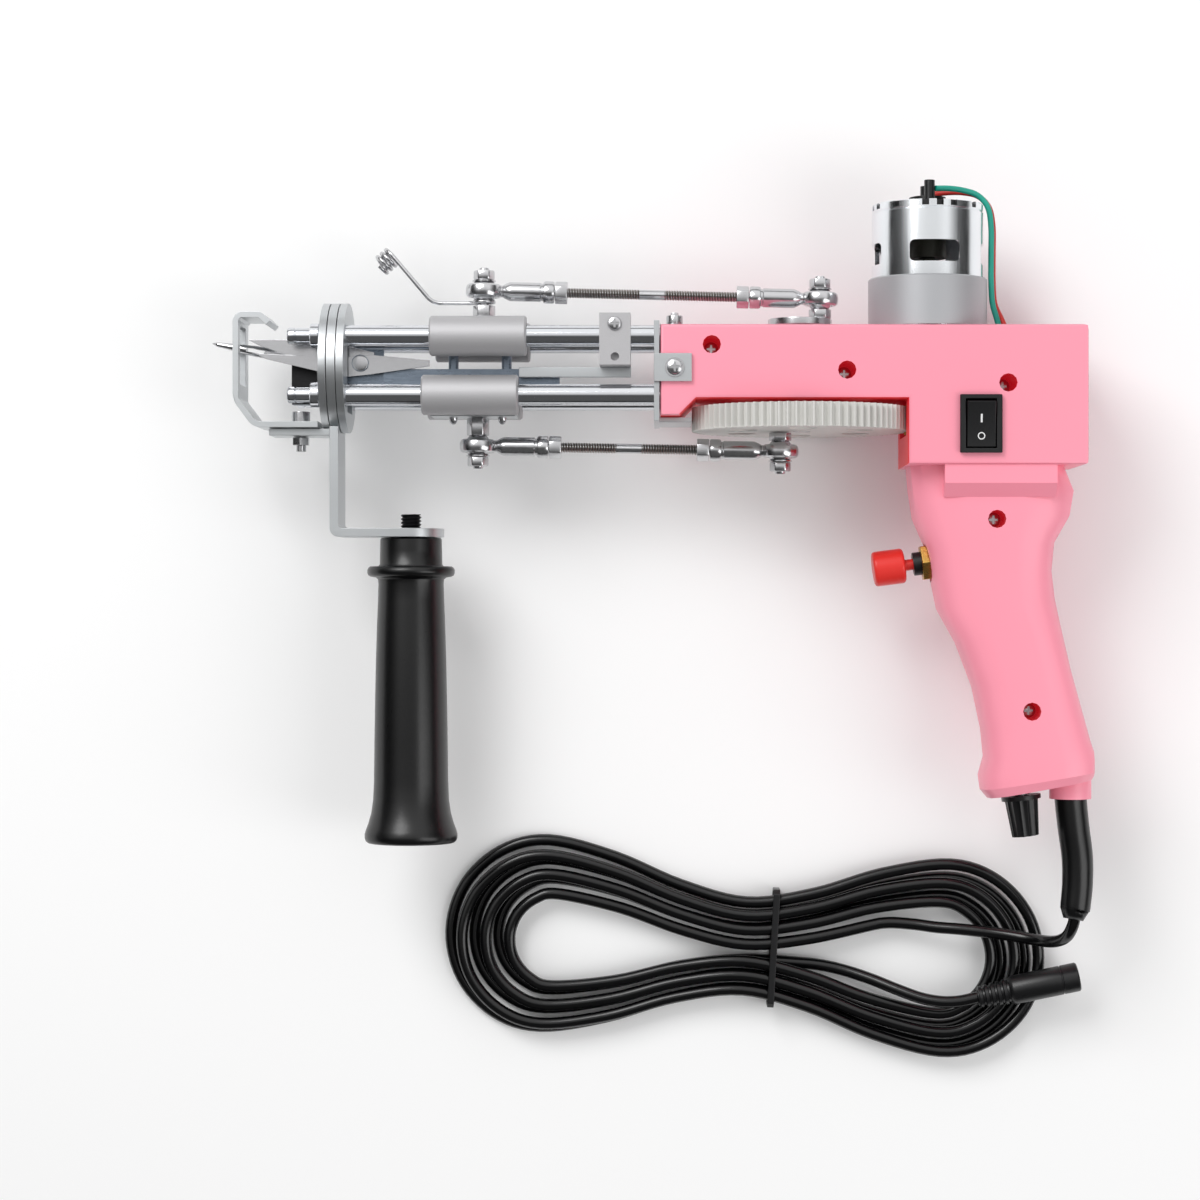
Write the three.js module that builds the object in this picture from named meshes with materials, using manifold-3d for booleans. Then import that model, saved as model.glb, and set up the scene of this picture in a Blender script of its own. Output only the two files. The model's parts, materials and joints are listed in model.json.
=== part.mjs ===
// Handheld tufting machine, lying on its side as it is laid on a table with its cord hanked beside it.
// X runs from the needle's point to the back of the grip, Y from the grip's foot up to the motor, and
// Z up from the table. Sizes are in millimetres. The machine is built around the drive wheel's centre.
import * as THREE from "three";
import { mergeVertices } from "three/addons/utils/BufferGeometryUtils.js";
import Module from "manifold-3d";

const wasm = await Module();
wasm.setup();

// Clearances and cutting
const weldDistance = 0.001;
const flatness = 0.004;
const fitGap = 0.3;
const runningGap = 0.3;
const overrun = 2;

// Drive wheel, its pinion and the two cranks
const wheelPitchRadius = 40;
const wheelTeeth = 80;
const pinionTeeth = 16;
const meshGap = 0.2;
const backlash = 0.35;
const addendumShare = 0.9;
const dedendumShare = 1.2;
const pressureAngle = THREE.MathUtils.degToRad(20);
const wheelThickness = 9;
const pinionLength = 11;
const wheelHoles = 6;
const wheelHoleRadius = 5.5;
const wheelHoleCircle = 25;
const crankRadius = 7.5;
const wheelShaftRadius = 4;
const crankDiscRadius = 12;
const crankDiscThickness = 2.6;
const crankDiscLift = 1.2;
const crankHoleRadius = 1.6;
const crankHoleDepth = 2;

// Guide rods, the sleeves that run on them, and the two carriages
const rodRadius = 4;
const rodSpread = 29;
const upperRodY = 30.5;
const lowerRodY = 8.5;
const rodNutRadius = 3;
const rodNutLength = 12;
const rodCollarRadius = 4.6;
const rodCollarLength = 3.4;
const rodSeatDepth = 4;
const sleeveRadius = 7.5;
const sleeveLength = 36;
const upperSleeveX = -120.7;
const lowerSleeveX = -123.7;
const carriagePlateThickness = 2.5;
const carriagePlateLength = 32;
const carriagePlateShift = 0.7;

// Connecting rods with their ball ends
const upperRodFrontY = 48.8;
const upperRodRearY = 45.7;
const lowerRodFrontY = -9.8;
const lowerRodRearY = -11.8;
const upperStudX = -119.4;
const lowerStudX = -121.7;
const ballRadius = 5;
const ballHalfWidth = 3.4;
const eyeRadius = 6.9;
const eyeHalfWidth = 2.5;
const barrelRadius = 3.6;
const barrelStart = 7.6;
const barrelEnd = 22.3;
const eyeCollarRadius = 4.2;
const eyeCollarEnd = 26.6;
const eyeBoreDepth = 12;
const linkRadius = 2;
const lockNutRadius = 4.3;
const lockNutLength = 4.6;
const boltRadius = 2.4;
const boltHexRadius = 4.3;
const boltNutLength = 3.6;
const boltTip = 1.6;

// Nose plates, side handle bracket and presser foot
const noseRadius = 24.5;
const noseCentreY = 19.5;
const noseFrontX = -179.5;
const nosePlateThickness = 2.8;
const noseMouthWidth = 17.2;
const noseMouthHeight = 29;
const noseMouthY = 17;
const bracketThickness = 3.2;
const bracketWidth = 25;
const bracketFootY = -44.3;
const tabLength = 20;
const tabWidth = 18;
const tabThickness = 2.6;
const footThickness = 2.2;
const footWidth = 26;
const footFaceX = -212.6;
const footTopY = 39.8;
const footHookLength = 14;
const footHookDrop = 3.4;
const footFaceBottomY = 6.8;
const footKneeX = -205;
const footRearX = -180.8;
const needleSlotFar = -6;
const needleSlotNear = 8.6;
const needleSlotBottom = 13;
const needleSlotTop = 35;
const footSlotLength = 14;
const clampScrewX = -188.6;
const clampScrewRadius = 1.9;
const clampHeadRadius = 3.4;
const clampHeadHeight = 4;
const clampNutHeight = 3;
const clampTail = 2.4;

// Side handle
const handleX = -147;
const handleLength = 115.3;
const handleNeckRadius = 11.5;
const handleNeckLength = 10;
const handleFlangeRadius = 16.2;
const handleFlangeLength = 4.4;
const handleGripRadius = 14;
const handleGripRadiusShares = [0.9, 0.929, 0.971, 1];
const handleGripHeightShares = [0.135, 0.26, 0.52, 0.82];
const handleFootRadius = 17.5;
const handleFootLength = 6.2;
const handleFootEdge = 1.2;
const handleStudRadius = 4;
const handleStudDepth = 24;
const handleStudTop = 8.6;

// Needle, its bar and its clamp block
const needleTipX = -222.6;
const needleTipY = 29.1;
const needleAngle = THREE.MathUtils.degToRad(10);
const needleLength = 42;
const needleRadius = 2.1;
const needlePointRadius = 0.9;
const needlePointLength = 17;
const needleBore = 1.3;
const needleZ = -1.9;
const needleEyeLength = 7;
const needleEyeWidth = 1.5;
const needleBarTop = 12;
const needleBarBottom = 5.8;
const needleBarFar = -5.5;
const needleBarNear = -1.5;
const needleBarRearX = -112;
const needleBarFrontX = -192;
const needleBlockTop = 27.5;
const needleBlockLength = 9.5;
const needleBlockNear = 1.2;

// Cutter bar, scissor blades and the cam that opens them
const cutterBarTop = 18.9;
const cutterBarBottom = 11.4;
const cutterBarRearX = -90.7;
const cutterBarFrontX = -172;
const cutterBarFar = 1.5;
const cutterBarNear = 4.9;
const cutterNoseNear = 3.2;
const cutterNoseTop = 26.5;
const cutterNoseLength = 15;
const cutterPostRadius = 1.9;
const cutterPostInset = 6;
const bladeThickness = 1.4;
const bladeCount = 2;
const bladeGap = 0.3;
const bladePivotX = -165.5;
const bladePivotY = 21;
const bladePinRadius = 1.9;
const bladeHeadRadius = 3.2;
const bladeHeadThickness = 0.6;
const fixedBladeTipX = -208;
const fixedBladeTipY = 29.9;
const movingBladeTipX = -205;
const movingBladeTipY = 24.6;
const bladeRootWidth = 8.4;
const bladeHeelLength = 5;
const movingTailX = -139.5;
const movingTailWidth = 2.2;
const camBlockStandoff = 16.8;
const camBlockLength = 11.6;
const camBlockTop = 38.6;
const camBlockBottom = 19.3;
const camBlockHalfWidth = 6.4;
const camBarLength = 42;
const camBarHeight = 3.8;
const camBarWidth = 3;
const camScrewRadius = 1.6;
const camScrewDepth = 3;

// Yarn guide wire with its coiled eye
const yarnWireRadius = 0.8;
const yarnRingRadius = 3.6;
const yarnRingSteps = 10;
const yarnRingShare = 0.75;
const yarnBendX = -139.2;
const yarnBendRound = 3;
const yarnBendSteps = 4;
const yarnCoilX = -154.6;
const yarnCoilY = 62.8;
const yarnCoilRadius = 3.4;
const yarnCurls = 3;
const yarnCurlPitch = 2.1;
const yarnCurlSteps = 10;
const yarnSides = 5;

// Pink housing: a block over the wheel, and the grip below it
const housingHalf = 24;
const housingWall = 2.5;
const housingChinLength = 7.2;
const wheelChinGap = 4.7;
const wheelStepDepth = 2;
const housingTailLength = 57.7;
const housingTopY = 34.2;
const housingFootY = -17.7;
const housingBellyY = 6.6;
const housingChinY = 0.4;
const housingEdge = 1.6;
const gripRootInset = 1.1;
const gripRootY = -6;
const gripLength = 136.6;
const gripHalfWidth = 17.6;
// Sections down the grip: front and back points as shares of its length from its root, and half width
const gripSectionShares = [
  [0.0073, 0, 0.4173, 0, 0.9886],
  [-0.0015, 0.0805, 0.4334, 0.0805, 1],
  [0.0044, 0.1537, 0.4641, 0.1537, 1],
  [0.0161, 0.2299, 0.4524, 0.2225, 0.9886],
  [0.0498, 0.3075, 0.4085, 0.2972, 0.9659],
  [0.0659, 0.3953, 0.4012, 0.3734, 0.9432],
  [0.0835, 0.4795, 0.41, 0.4502, 0.9261],
  [0.1347, 0.571, 0.4246, 0.5198, 0.9148],
  [0.1816, 0.6955, 0.4531, 0.6442, 0.9091],
  [0.2064, 0.8126, 0.4854, 0.7613, 0.9205],
  [0.2138, 0.8887, 0.5066, 0.8375, 0.9432],
  [0.1991, 0.94, 0.5256, 0.8931, 0.9659],
  [0.2042, 0.9766, 0.5264, 0.9239, 0.9545],
  [0.224, 1, 0.5117, 0.9473, 0.8295],
];
const gripPanelFrontShare = 0.093;
const gripPanelRearShare = 0.3982;
const gripPanelFootShare = 0.1362;
const gripPanelHalf = 22.4;
const gripPanelSlope = 5;
const gripWall = 3;
const gripSides = 18;
const gripSquareShare = 0.62;
const blockScrewShares = [[0.1203, 0.8537], [0.4359, 0.6722], [0.8115, 0.5815]];
const gripScrewShares = [[0.2387, 0.2328], [0.3353, 0.7584]];
const screwRecessRadius = 3.4;
const screwBossRadius = 5.2;
const screwPilotRadius = 1.5;
const screwSeatZ = 3;
const screwPilotDepth = 14;
const bearingRadius = 8;
const bearingWidth = 5;
const bearingWaistRadius = 6.6;
const bearingBottom = 9.8;
const bearingTop = 32;
const bearingSeatWall = 2.4;
const wheelSlotGap = 1.1;
const shaftHoleRadius = 5.5;
const motorShelfThickness = 3;
const motorShelfHole = 6;
const wireHoleLength = 6.4;
const wireHoleWidth = 7;
const wireHoleReach = 28.8;
const partingGap = 0.15;
const cordStubReach = 18.7;
const cordStubTopShare = 0.9151;
const cordStubLength = 12;
const cordStubRadius = 8;

// Steel plate on the front of the housing
const frontPlateThickness = 2;
const frontPlateBottom = -1.8;
const frontPlateTop = 35.5;
const plateTabLength = 12;
const topTabWidth = 16;
const sideTabTop = 23.2;
const sideTabBottom = 12.8;
const sideTabThickness = 1.5;
const tabScrewRadius = 2.6;
const tabScrewHeight = 1.6;
const topScrewHeight = 3.6;

// Motor that stands on the housing
const motorCanRadius = 21;
const motorWall = 1.5;
const motorBottomY = 18.3;
const motorLength = 62.7;
const fluxRingRadius = 22.4;
const fluxRingTopShare = 0.555;
const motorShaftRadius = 2.5;
const motorWindows = 4;
const motorWindowWidth = 18.7;
const motorWindowBottomShare = 0.632;
const motorWindowTopShare = 0.759;
const motorWindowPhase = THREE.MathUtils.degToRad(3);
const endCapThickness = 4;
const endCapBossRadius = 7;
const endCapBossHeight = 3;
const terminalRadius = 2;
const terminalSpread = 17;
const terminalHeight = 8.5;
const coreRadius = 17.2;
const coreBottomShare = 0.148;
const coreTopShare = 0.543;
const windingRadius = 14.5;
const windingShare = 0.076;
const commutatorRadius = 7;
const commutatorBottomShare = 0.68;
const commutatorTopShare = 0.848;

// Motor leads, from the terminals down to the housing
const leadRadius = 1.1;
const leadSides = 6;
const leadSteps = 22;
const leadPairGap = 0.5;
const leadRise = 5.4;
const leadSideGap = 0.4;
const leadEndDepth = 7;
// The leads over the motor: shares of the way to its side, and of the leads' rise above its top
const leadOverShares = [[0, 1], [0.245, 1.07], [0.513, 1], [0.763, 0.7], [0.942, -0.13], [1, -1.52]];
// The leads down its side: shares of the way back to the wire hole, and of the way down into it
const leadDownShares = [[0, 0.234], [0, 0.447], [0.14, 0.628], [0.6, 0.755], [0.94, 0.862], [1, 1]];
const leadFanShares = [0, 0, 0.1, 0.2, 0.3, 0.35, 0.35, 0.35, 0.4, 0.7, 0.95, 1];

// Rocker switch
const switchBack = 17.6;
const switchY = -2.8;
const switchWidth = 15.6;
const switchHeight = 21.6;
const switchBezel = 2.2;
const switchBodyWidth = 13;
const switchBodyHeight = 19.4;
const switchBodyDepth = 12;
const rockerWidth = 10.6;
const rockerHalfHeight = 8.5;
const rockerEndHeight = 2;
const rockerMiddleHeight = 1.1;
const rockerShoulder = 1.2;
const rockerFootHeight = 3.2;
const rockerFootHalf = 5;
const rockerTilt = THREE.MathUtils.degToRad(8);
const rockerPivotDrop = 1;
const rockerPocketGap = 0.6;
const rockerPocketDepth = 7;

// Trigger button in the front of the grip
const triggerBackShare = 0.0542;
const triggerDownShare = 0.3507;
const triggerAngle = THREE.MathUtils.degToRad(7.5);
const triggerNutRadius = 7.3;
const triggerNutThickness = 3.4;
const triggerBarrelRadius = 4.4;
const triggerBarrelFront = 4.8;
const triggerBarrelRear = 17;
const triggerStemRadius = 2.1;
const triggerStemRear = 14;
const triggerGap = 3.2;
const triggerCapRadius = 6.6;
const triggerCapLength = 12;
const triggerCapEdge = 0.8;

// Speed knob in the foot of the grip
const knobBackShare = 0.3184;
const knobDownShare = 0.9942;
const knobAngle = THREE.MathUtils.degToRad(6.6);
const knobFlangeRadius = 7.5;
const knobFlangeThickness = 1.6;
const knobTopRadius = 6.4;
const knobEndRadius = 5.1;
const knobLength = 15.4;
const knobFlutes = 14;
const knobFluteDepth = 0.5;
const knobBoreDepth = 9;
const potBushRadius = 3.6;
const potBodyRadius = 7.2;
const potBodyTop = 15;
const potBodyBottom = 6;
const potShaftRadius = 2.2;
const potShaftLength = 8;

// Cord: its sleeve, the free stretch, the hank, the plug and the tie
const cordRadius = 2.3;
const cordSides = 8;
const cordSleeveRadius = 6.1;
const cordSleeveSides = 14;
const cordSleeveSteps = 12;
// Hand-laid routes, as steps from the stub's end and from the sleeve's end. The third number of the
// second one is a share of the drop to the table
const cordSleeveRoute = [
  [0, 13.4, 0], [0, 8, 0], [0.1, 0, 0], [1.2, -11, 0], [2.6, -22, 0], [2.7, -32, 0], [1.8, -41.6, 0],
];
const leadCordSteps = 30;
const leadCordRoute = [
  [0, -0.3, 0], [-0.2, -4, 0.012], [-1, -7.4, 0.054], [-2.5, -10.7, 0.147], [-4.8, -12.7, 0.282],
  [-8, -13.6, 0.432], [-12.2, -13.4, 0.57], [-17.5, -12.6, 0.678], [-24, -11.4, 0.75],
  [-31, -10.3, 0.801], [-38, -9.3, 0.834], [-46, -8.4, 0.873], [-54, -7.7, 0.921], [-62, -6.6, 0.969],
  [-70, -5.9, 0.996], [-75.1, -6, 1.002], [-79.25, -6.75, 1],
];
const leadCordGap = 0.5;
const hankReach = 122.4;
const hankDrop = 60.7;
const hankTilt = THREE.MathUtils.degToRad(-3.3);
const hankInnerLength = 88;
const hankInnerWidth = 15.2;
const hankInnerWaist = 1.2;
const hankLengthPitch = 9.3;
const hankWidthPitch = 7.4;
const hankWaistPitch = 5.6;
const hankTurns = 3;
const hankCapSteps = 6;
const hankRunSteps = 6;
const hankSides = 6;
const hankFirstStep = 1;
const hankLastStep = 135;
const hankLowZ = 2.4;
const layerRise = 5.2;
const tieX = 11.3;
const tieLift = 2.4;
const tieReach = 30;
const tieWidth = 2.6;
const tieThickness = 0.9;
const tieGap = 0.35;
const tailRoute = [
  [22, -4.7, 3.9], [31, -5.2, 4.1], [40, -6.6, 5.4], [50, -9, 8.2], [60, -12, 11.6], [69, -14.4, 14.2],
  [77, -15.2, 15.8], [84, -14.5, 16.4],
];
const tailEnd = [90.6, -12.7, 16.4];
const plugLength = 40;
const plugRadius = 5.6;
const plugBootRadius = 4.2;
const plugBootLength = 13;
const plugRibs = 4;
const plugRibDepth = 0.7;
const plugBore = 3.2;
const plugBoreDepth = 9;
const plugAngle = THREE.MathUtils.degToRad(15);
const gapSamples = 8;

// Finishes
const pink = { color: 0xff9fb2, roughness: 0.42, metalness: 0 };
const steel = { color: 0xb9bcc0, roughness: 0.28, metalness: 1 };
const zinc = { color: 0xc9ced2, roughness: 0.38, metalness: 1 };
const satin = { color: 0xb4b4b6, roughness: 0.5, metalness: 0.7 };
const bluedSteel = { color: 0x8f9db0, roughness: 0.35, metalness: 1 };
const whitePlastic = { color: 0xdedfda, roughness: 0.5, metalness: 0 };
const blackRubber = { color: 0x17171a, roughness: 0.6, metalness: 0 };
const blackPlastic = { color: 0x1d1d20, roughness: 0.4, metalness: 0 };
const brass = { color: 0xc79a4c, roughness: 0.35, metalness: 1 };
const copper = { color: 0xb5653a, roughness: 0.4, metalness: 1 };
const redPlastic = { color: 0xe0251f, roughness: 0.4, metalness: 0 };
const greenPlastic = { color: 0x1c9c84, roughness: 0.45, metalness: 0 };

// Counts of sides on round pieces
const fineSides = 32;
const roundSides = 16;
const smallSides = 12;
const hexSides = 6;

const toothModule = (2 * wheelPitchRadius) / wheelTeeth;
const pinionPitchRadius = (toothModule * pinionTeeth) / 2;
const wheelTipRadius = wheelPitchRadius + toothModule * addendumShare;
const motorX = wheelPitchRadius + pinionPitchRadius + meshGap;
const housingStepX = wheelTipRadius - wheelStepDepth;
const housingRearX = motorX + housingTailLength;
const housingChinX = -wheelTipRadius - wheelChinGap;
const housingFrontX = housingChinX - housingChinLength;
const rodRearX = housingFrontX + rodSeatDepth;
const camBlockX = housingFrontX - camBlockStandoff;
const switchX = motorX + switchBack;
const wireHoleX = motorX + wireHoleReach;
const gripRootX = housingStepX + gripRootInset;
const [triggerX, triggerY] = gripPlace(triggerBackShare, triggerDownShare).toArray();
const [knobX, knobY] = gripPlace(knobBackShare, knobDownShare).toArray();
const cordStubX = knobX + cordStubReach;
const cordStubTop = gripRootY - gripLength * cordStubTopShare;
const cordStubBottom = cordStubTop - cordStubLength;
const hankX = cordStubX - hankReach;
const hankY = cordStubBottom - hankDrop;
const carriageSeat = sleeveRadius - carriagePlateThickness;
const carriagePlateHalf = rodSpread / 2 - Math.sqrt(sleeveRadius ** 2 - carriageSeat ** 2) - fitGap;
const upperPlateY = upperRodY + carriageSeat;
const lowerPlateY = lowerRodY - sleeveRadius;
const wheelTop = wheelThickness / 2;
const wheelBottom = -wheelThickness / 2;
const crankDiscBottom = housingTopY + crankDiscLift;
const crankDiscTop = crankDiscBottom + crankDiscThickness;
const noseMiddleX = noseFrontX + nosePlateThickness + fitGap;
const noseRearX = noseMiddleX + bracketThickness + fitGap;
const tabTopY = noseCentreY - noseRadius + tabThickness / 2;
const footBaseY = tabTopY + fitGap;
const switchFaceZ = housingHalf + switchBezel;
const plateRearX = housingFrontX - fitGap;
const plateFrontX = plateRearX - frontPlateThickness;
const screwPlaces = [
  ...blockScrewShares.map(([back, up]) => [
    housingFrontX + (housingRearX - housingFrontX) * back, housingFootY + (housingTopY - housingFootY) * up,
  ]),
  ...gripScrewShares.map(([back, down]) => gripPlace(back, down).toArray()),
];
const studHexTop = ballHalfWidth + 2 * yarnWireRadius + 2 * fitGap;
const floorZ = -wheelTipRadius;
const motorTopY = motorBottomY + motorLength;
const upMotor = (share) => motorBottomY + motorLength * share;

// Makes a closed geometry into a solid that can be joined and cut
function solidOf(geometry) {
  const bare = geometry.index ? geometry.toNonIndexed() : geometry.clone();
  bare.deleteAttribute("normal");
  bare.deleteAttribute("uv");
  const merged = mergeVertices(bare, weldDistance);
  const corners = merged.index.array;
  const kept = [];
  for (let i = 0; i < corners.length; i += 3) {
    const [a, b, c] = [corners[i], corners[i + 1], corners[i + 2]];
    if (a !== b && b !== c && a !== c) kept.push(a, b, c);
  }
  const vertProperties = merged.attributes.position.array;
  const mesh = new wasm.Mesh({ numProp: 3, vertProperties, triVerts: new Uint32Array(kept) });
  const made = new wasm.Manifold(mesh);
  if (made.volume() > 0) return made;
  const triVerts = new Uint32Array(kept.map((_, i) => kept[i - (i % 3) + [0, 2, 1][i % 3]]));
  return new wasm.Manifold(new wasm.Mesh({ numProp: 3, vertProperties, triVerts }));
}

// Gives a solid back as a geometry
function geometryOf(shape) {
  const mesh = shape.getMesh();
  const geometry = new THREE.BufferGeometry();
  geometry.setAttribute("position", new THREE.BufferAttribute(mesh.vertProperties, 3));
  geometry.setIndex(new THREE.BufferAttribute(mesh.triVerts, 1));
  geometry.computeVertexNormals();
  return geometry;
}

const moved = (shape, x, y, z) => shape.translate([x, y, z]);
const joined = (first, ...rest) => rest.reduce((all, one) => all.add(one), first);
const cutBy = (first, ...rest) => rest.reduce((all, one) => all.subtract(one), first);
const points = (list) => list.map(([x, y]) => new THREE.Vector2(x, y));

// A solid turned about the Y axis, from a profile of radius and height
function turned(profile, sides) {
  return solidOf(new THREE.LatheGeometry(points(profile), sides));
}

// A straight round bar along Y
function pillar(radius, bottom, top, sides = smallSides) {
  return turned([[0, bottom], [radius, bottom], [radius, top], [0, top]], sides);
}

// A straight tube along Y
function pipe(radius, bore, bottom, top, sides = roundSides) {
  const profile = [[bore, bottom], [radius, bottom], [radius, top], [bore, top], [bore, bottom]];
  return turned(profile, sides);
}

const alongX = (shape) => shape.rotate([0, 0, -90]);
const alongZ = (shape) => shape.rotate([90, 0, 0]);

// A block between two corners
function block(low, high) {
  const size = high.map((value, i) => value - low[i]);
  const middle = high.map((value, i) => (value + low[i]) / 2);
  return moved(solidOf(new THREE.BoxGeometry(...size)), ...middle);
}

// An outline in X and Y made thick from one height to another
function slab(outline, low, high) {
  const shape = new THREE.Shape(points(outline));
  const geometry = new THREE.ExtrudeGeometry(shape, { depth: high - low, bevelEnabled: false });
  return moved(solidOf(geometry), 0, 0, low);
}

// An outline drawn in by a wall and made thick on both sides of the middle plane, with small round edges
function roundedSlab(outline, half, round, inset) {
  const geometry = new THREE.ExtrudeGeometry(new THREE.Shape(points(outline)), {
    depth: 2 * (half - round),
    bevelThickness: round,
    bevelSize: round,
    bevelOffset: -round - inset,
    bevelSegments: 2,
  });
  return moved(solidOf(geometry), 0, 0, round - half);
}

// A strip of sheet metal that follows a line, with its thickness on the line's left
function strip(line, thickness, low, high) {
  const path = line.map(([x, y]) => new THREE.Vector2(x, y));
  const normals = path.slice(1).map((point, i) => {
    const along = point.clone().sub(path[i]).normalize();
    return new THREE.Vector2(-along.y, along.x);
  });
  const outer = path.map((point, i) => {
    const before = normals[Math.max(i - 1, 0)];
    const after = normals[Math.min(i, normals.length - 1)];
    const middle = before.clone().add(after).normalize();
    return point.clone().addScaledVector(middle, thickness / middle.dot(before));
  });
  const outline = [...path, ...outer.reverse()].map((point) => [point.x, point.y]);
  return slab(outline, low, high);
}

// A tube along a smooth curve through points
function sweptTube(line, radius, sides, steps) {
  const curve = new THREE.CatmullRomCurve3(line.map((point) => new THREE.Vector3(...point)));
  const ring = Array.from({ length: sides }, (_, side) => {
    const angle = (side * 2 * Math.PI) / sides;
    return [radius * Math.cos(angle), radius * Math.sin(angle)];
  });
  const options = { extrudePath: curve, steps, bevelEnabled: false };
  return solidOf(new THREE.ExtrudeGeometry(new THREE.Shape(points(ring)), options));
}

// A piece of the machine: a named mesh with its own finish
function piece(name, shape, finish) {
  const plain = shape.simplify(flatness);
  const mesh = new THREE.Mesh(geometryOf(plain), new THREE.MeshStandardMaterial(finish));
  mesh.name = name;
  return mesh;
}

// The same piece set at a place in the machine
function placed(name, shape, finish, x, y, z = 0) {
  const mesh = piece(name, shape, finish);
  mesh.position.set(x, y, z);
  return mesh;
}

// Outline of a toothed wheel, with flanks at the pressure angle
function toothedOutline(teeth) {
  const pitch = (toothModule * teeth) / 2;
  const tip = pitch + toothModule * addendumShare;
  const root = pitch - toothModule * dedendumShare;
  const half = (toothModule * Math.PI) / 4 - backlash / 2;
  const halfTip = half - toothModule * addendumShare * Math.tan(pressureAngle);
  const halfRoot = half + toothModule * dedendumShare * Math.tan(pressureAngle);
  const outline = [];
  for (let tooth = 0; tooth < teeth; tooth += 1) {
    const middle = (tooth * 2 * Math.PI) / teeth;
    const corners = [[root, -halfRoot], [tip, -halfTip], [tip, halfTip], [root, halfRoot]];
    for (const [radius, across] of corners) {
      const angle = middle + across / radius;
      outline.push([radius * Math.cos(angle), radius * Math.sin(angle)]);
    }
  }
  return outline;
}

// White drive wheel, with lightening holes and a tapped crank hole in its lower face
function driveWheel() {
  let wheel = alongZ(slab(toothedOutline(wheelTeeth), -wheelTop, wheelTop));
  for (let hole = 0; hole < wheelHoles; hole += 1) {
    const angle = ((hole + 1 / 2) * 2 * Math.PI) / wheelHoles;
    const bar = pillar(wheelHoleRadius, wheelBottom - overrun, wheelTop + overrun);
    const place = [wheelHoleCircle * Math.cos(angle), 0, wheelHoleCircle * Math.sin(angle)];
    wheel = wheel.subtract(moved(bar, ...place));
  }
  const bore = pillar(wheelShaftRadius + fitGap, wheelBottom - overrun, wheelTop + overrun);
  const crankHole = pillar(crankHoleRadius, wheelBottom - overrun, wheelBottom + crankHoleDepth);
  return piece("drive_wheel", cutBy(wheel, bore, moved(crankHole, -crankRadius, 0, 0)), whitePlastic);
}

// Upright shaft with the upper crank disc turned on its end
function crankShaft() {
  const shaft = pillar(wheelShaftRadius, wheelBottom, crankDiscTop, roundSides);
  const disc = pillar(crankDiscRadius, crankDiscBottom, crankDiscTop, roundSides);
  const hole = pillar(crankHoleRadius, crankDiscTop - crankHoleDepth, crankDiscTop + overrun);
  return piece("crank_shaft", shaft.add(disc).subtract(moved(hole, crankRadius, 0, 0)), steel);
}

// Small pinion, turned half a tooth so that it meshes with the drive wheel
function motorPinion() {
  const bar = alongZ(slab(toothedOutline(pinionTeeth), -pinionLength / 2, pinionLength / 2));
  const bore = pillar(motorShaftRadius + fitGap, -pinionLength, pinionLength);
  const mesh = placed("motor_pinion", bar.subtract(bore), brass, motorX, 0);
  mesh.rotation.y = Math.PI / pinionTeeth;
  return mesh;
}

// Shaft, wound core and commutator that spin inside the motor
function motorArmature() {
  const foot = -pinionLength / 2;
  const [low, high] = [upMotor(coreBottomShare), upMotor(coreTopShare)];
  const [under, over] = [low - motorLength * windingShare, high + motorLength * windingShare];
  const [from, to] = [upMotor(commutatorBottomShare), upMotor(commutatorTopShare)];
  const profile = [
    [0, foot], [motorShaftRadius, foot], [motorShaftRadius, under], [windingRadius, under],
    [windingRadius, low], [coreRadius, low], [coreRadius, high], [windingRadius, high],
    [windingRadius, over], [motorShaftRadius, over], [motorShaftRadius, from], [commutatorRadius, from],
    [commutatorRadius, to], [motorShaftRadius, to], [motorShaftRadius, motorTopY], [0, motorTopY],
  ];
  return placed("motor_armature", turned(profile, roundSides), copper, motorX, 0);
}

// Steel can with four long windows
function motorCan() {
  const inner = motorCanRadius - motorWall;
  const hole = motorShaftRadius + fitGap;
  const profile = [
    [hole, motorBottomY], [motorCanRadius, motorBottomY], [motorCanRadius, motorTopY], [inner, motorTopY],
    [inner, motorBottomY + motorWall], [hole, motorBottomY + motorWall], [hole, motorBottomY],
  ];
  let can = turned(profile, fineSides);
  for (let window = 0; window < motorWindows; window += 1) {
    const half = motorWindowWidth / 2;
    const [low, high] = [upMotor(motorWindowBottomShare), upMotor(motorWindowTopShare)];
    const box = block([-half, low, 0], [half, high, motorCanRadius + overrun]);
    const turn = motorWindowPhase + (window * 2 * Math.PI) / motorWindows;
    can = can.subtract(box.rotate([0, THREE.MathUtils.radToDeg(turn), 0]));
  }
  return placed("motor_can", can, zinc, motorX, 0);
}

function fluxRing() {
  const [low, high] = [housingTopY + fitGap, upMotor(fluxRingTopShare)];
  const ring = pipe(fluxRingRadius, motorCanRadius + fitGap, low, high, fineSides);
  return placed("flux_ring", ring, satin, motorX, 0);
}

// Moulded cap that closes the can, with a bearing boss and two terminal posts
function motorEndCap() {
  const rim = motorCanRadius - motorWall - fitGap;
  const bottom = motorTopY - endCapThickness;
  const hole = motorShaftRadius + runningGap;
  const bossTop = motorTopY + endCapBossHeight;
  const profile = [
    [hole, bottom], [rim, bottom], [rim, motorTopY], [endCapBossRadius, motorTopY],
    [endCapBossRadius, bossTop], [0, bossTop], [0, motorTopY + runningGap],
    [hole, motorTopY + runningGap], [hole, bottom],
  ];
  let cap = turned(profile, roundSides);
  for (const side of [-1, 1]) {
    const post = pillar(terminalRadius, bottom + endCapThickness / 2, motorTopY + terminalHeight);
    cap = cap.add(moved(post, 0, 0, (side * terminalSpread) / 2));
  }
  return placed("motor_end_cap", cap, blackPlastic, motorX, 0);
}

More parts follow.
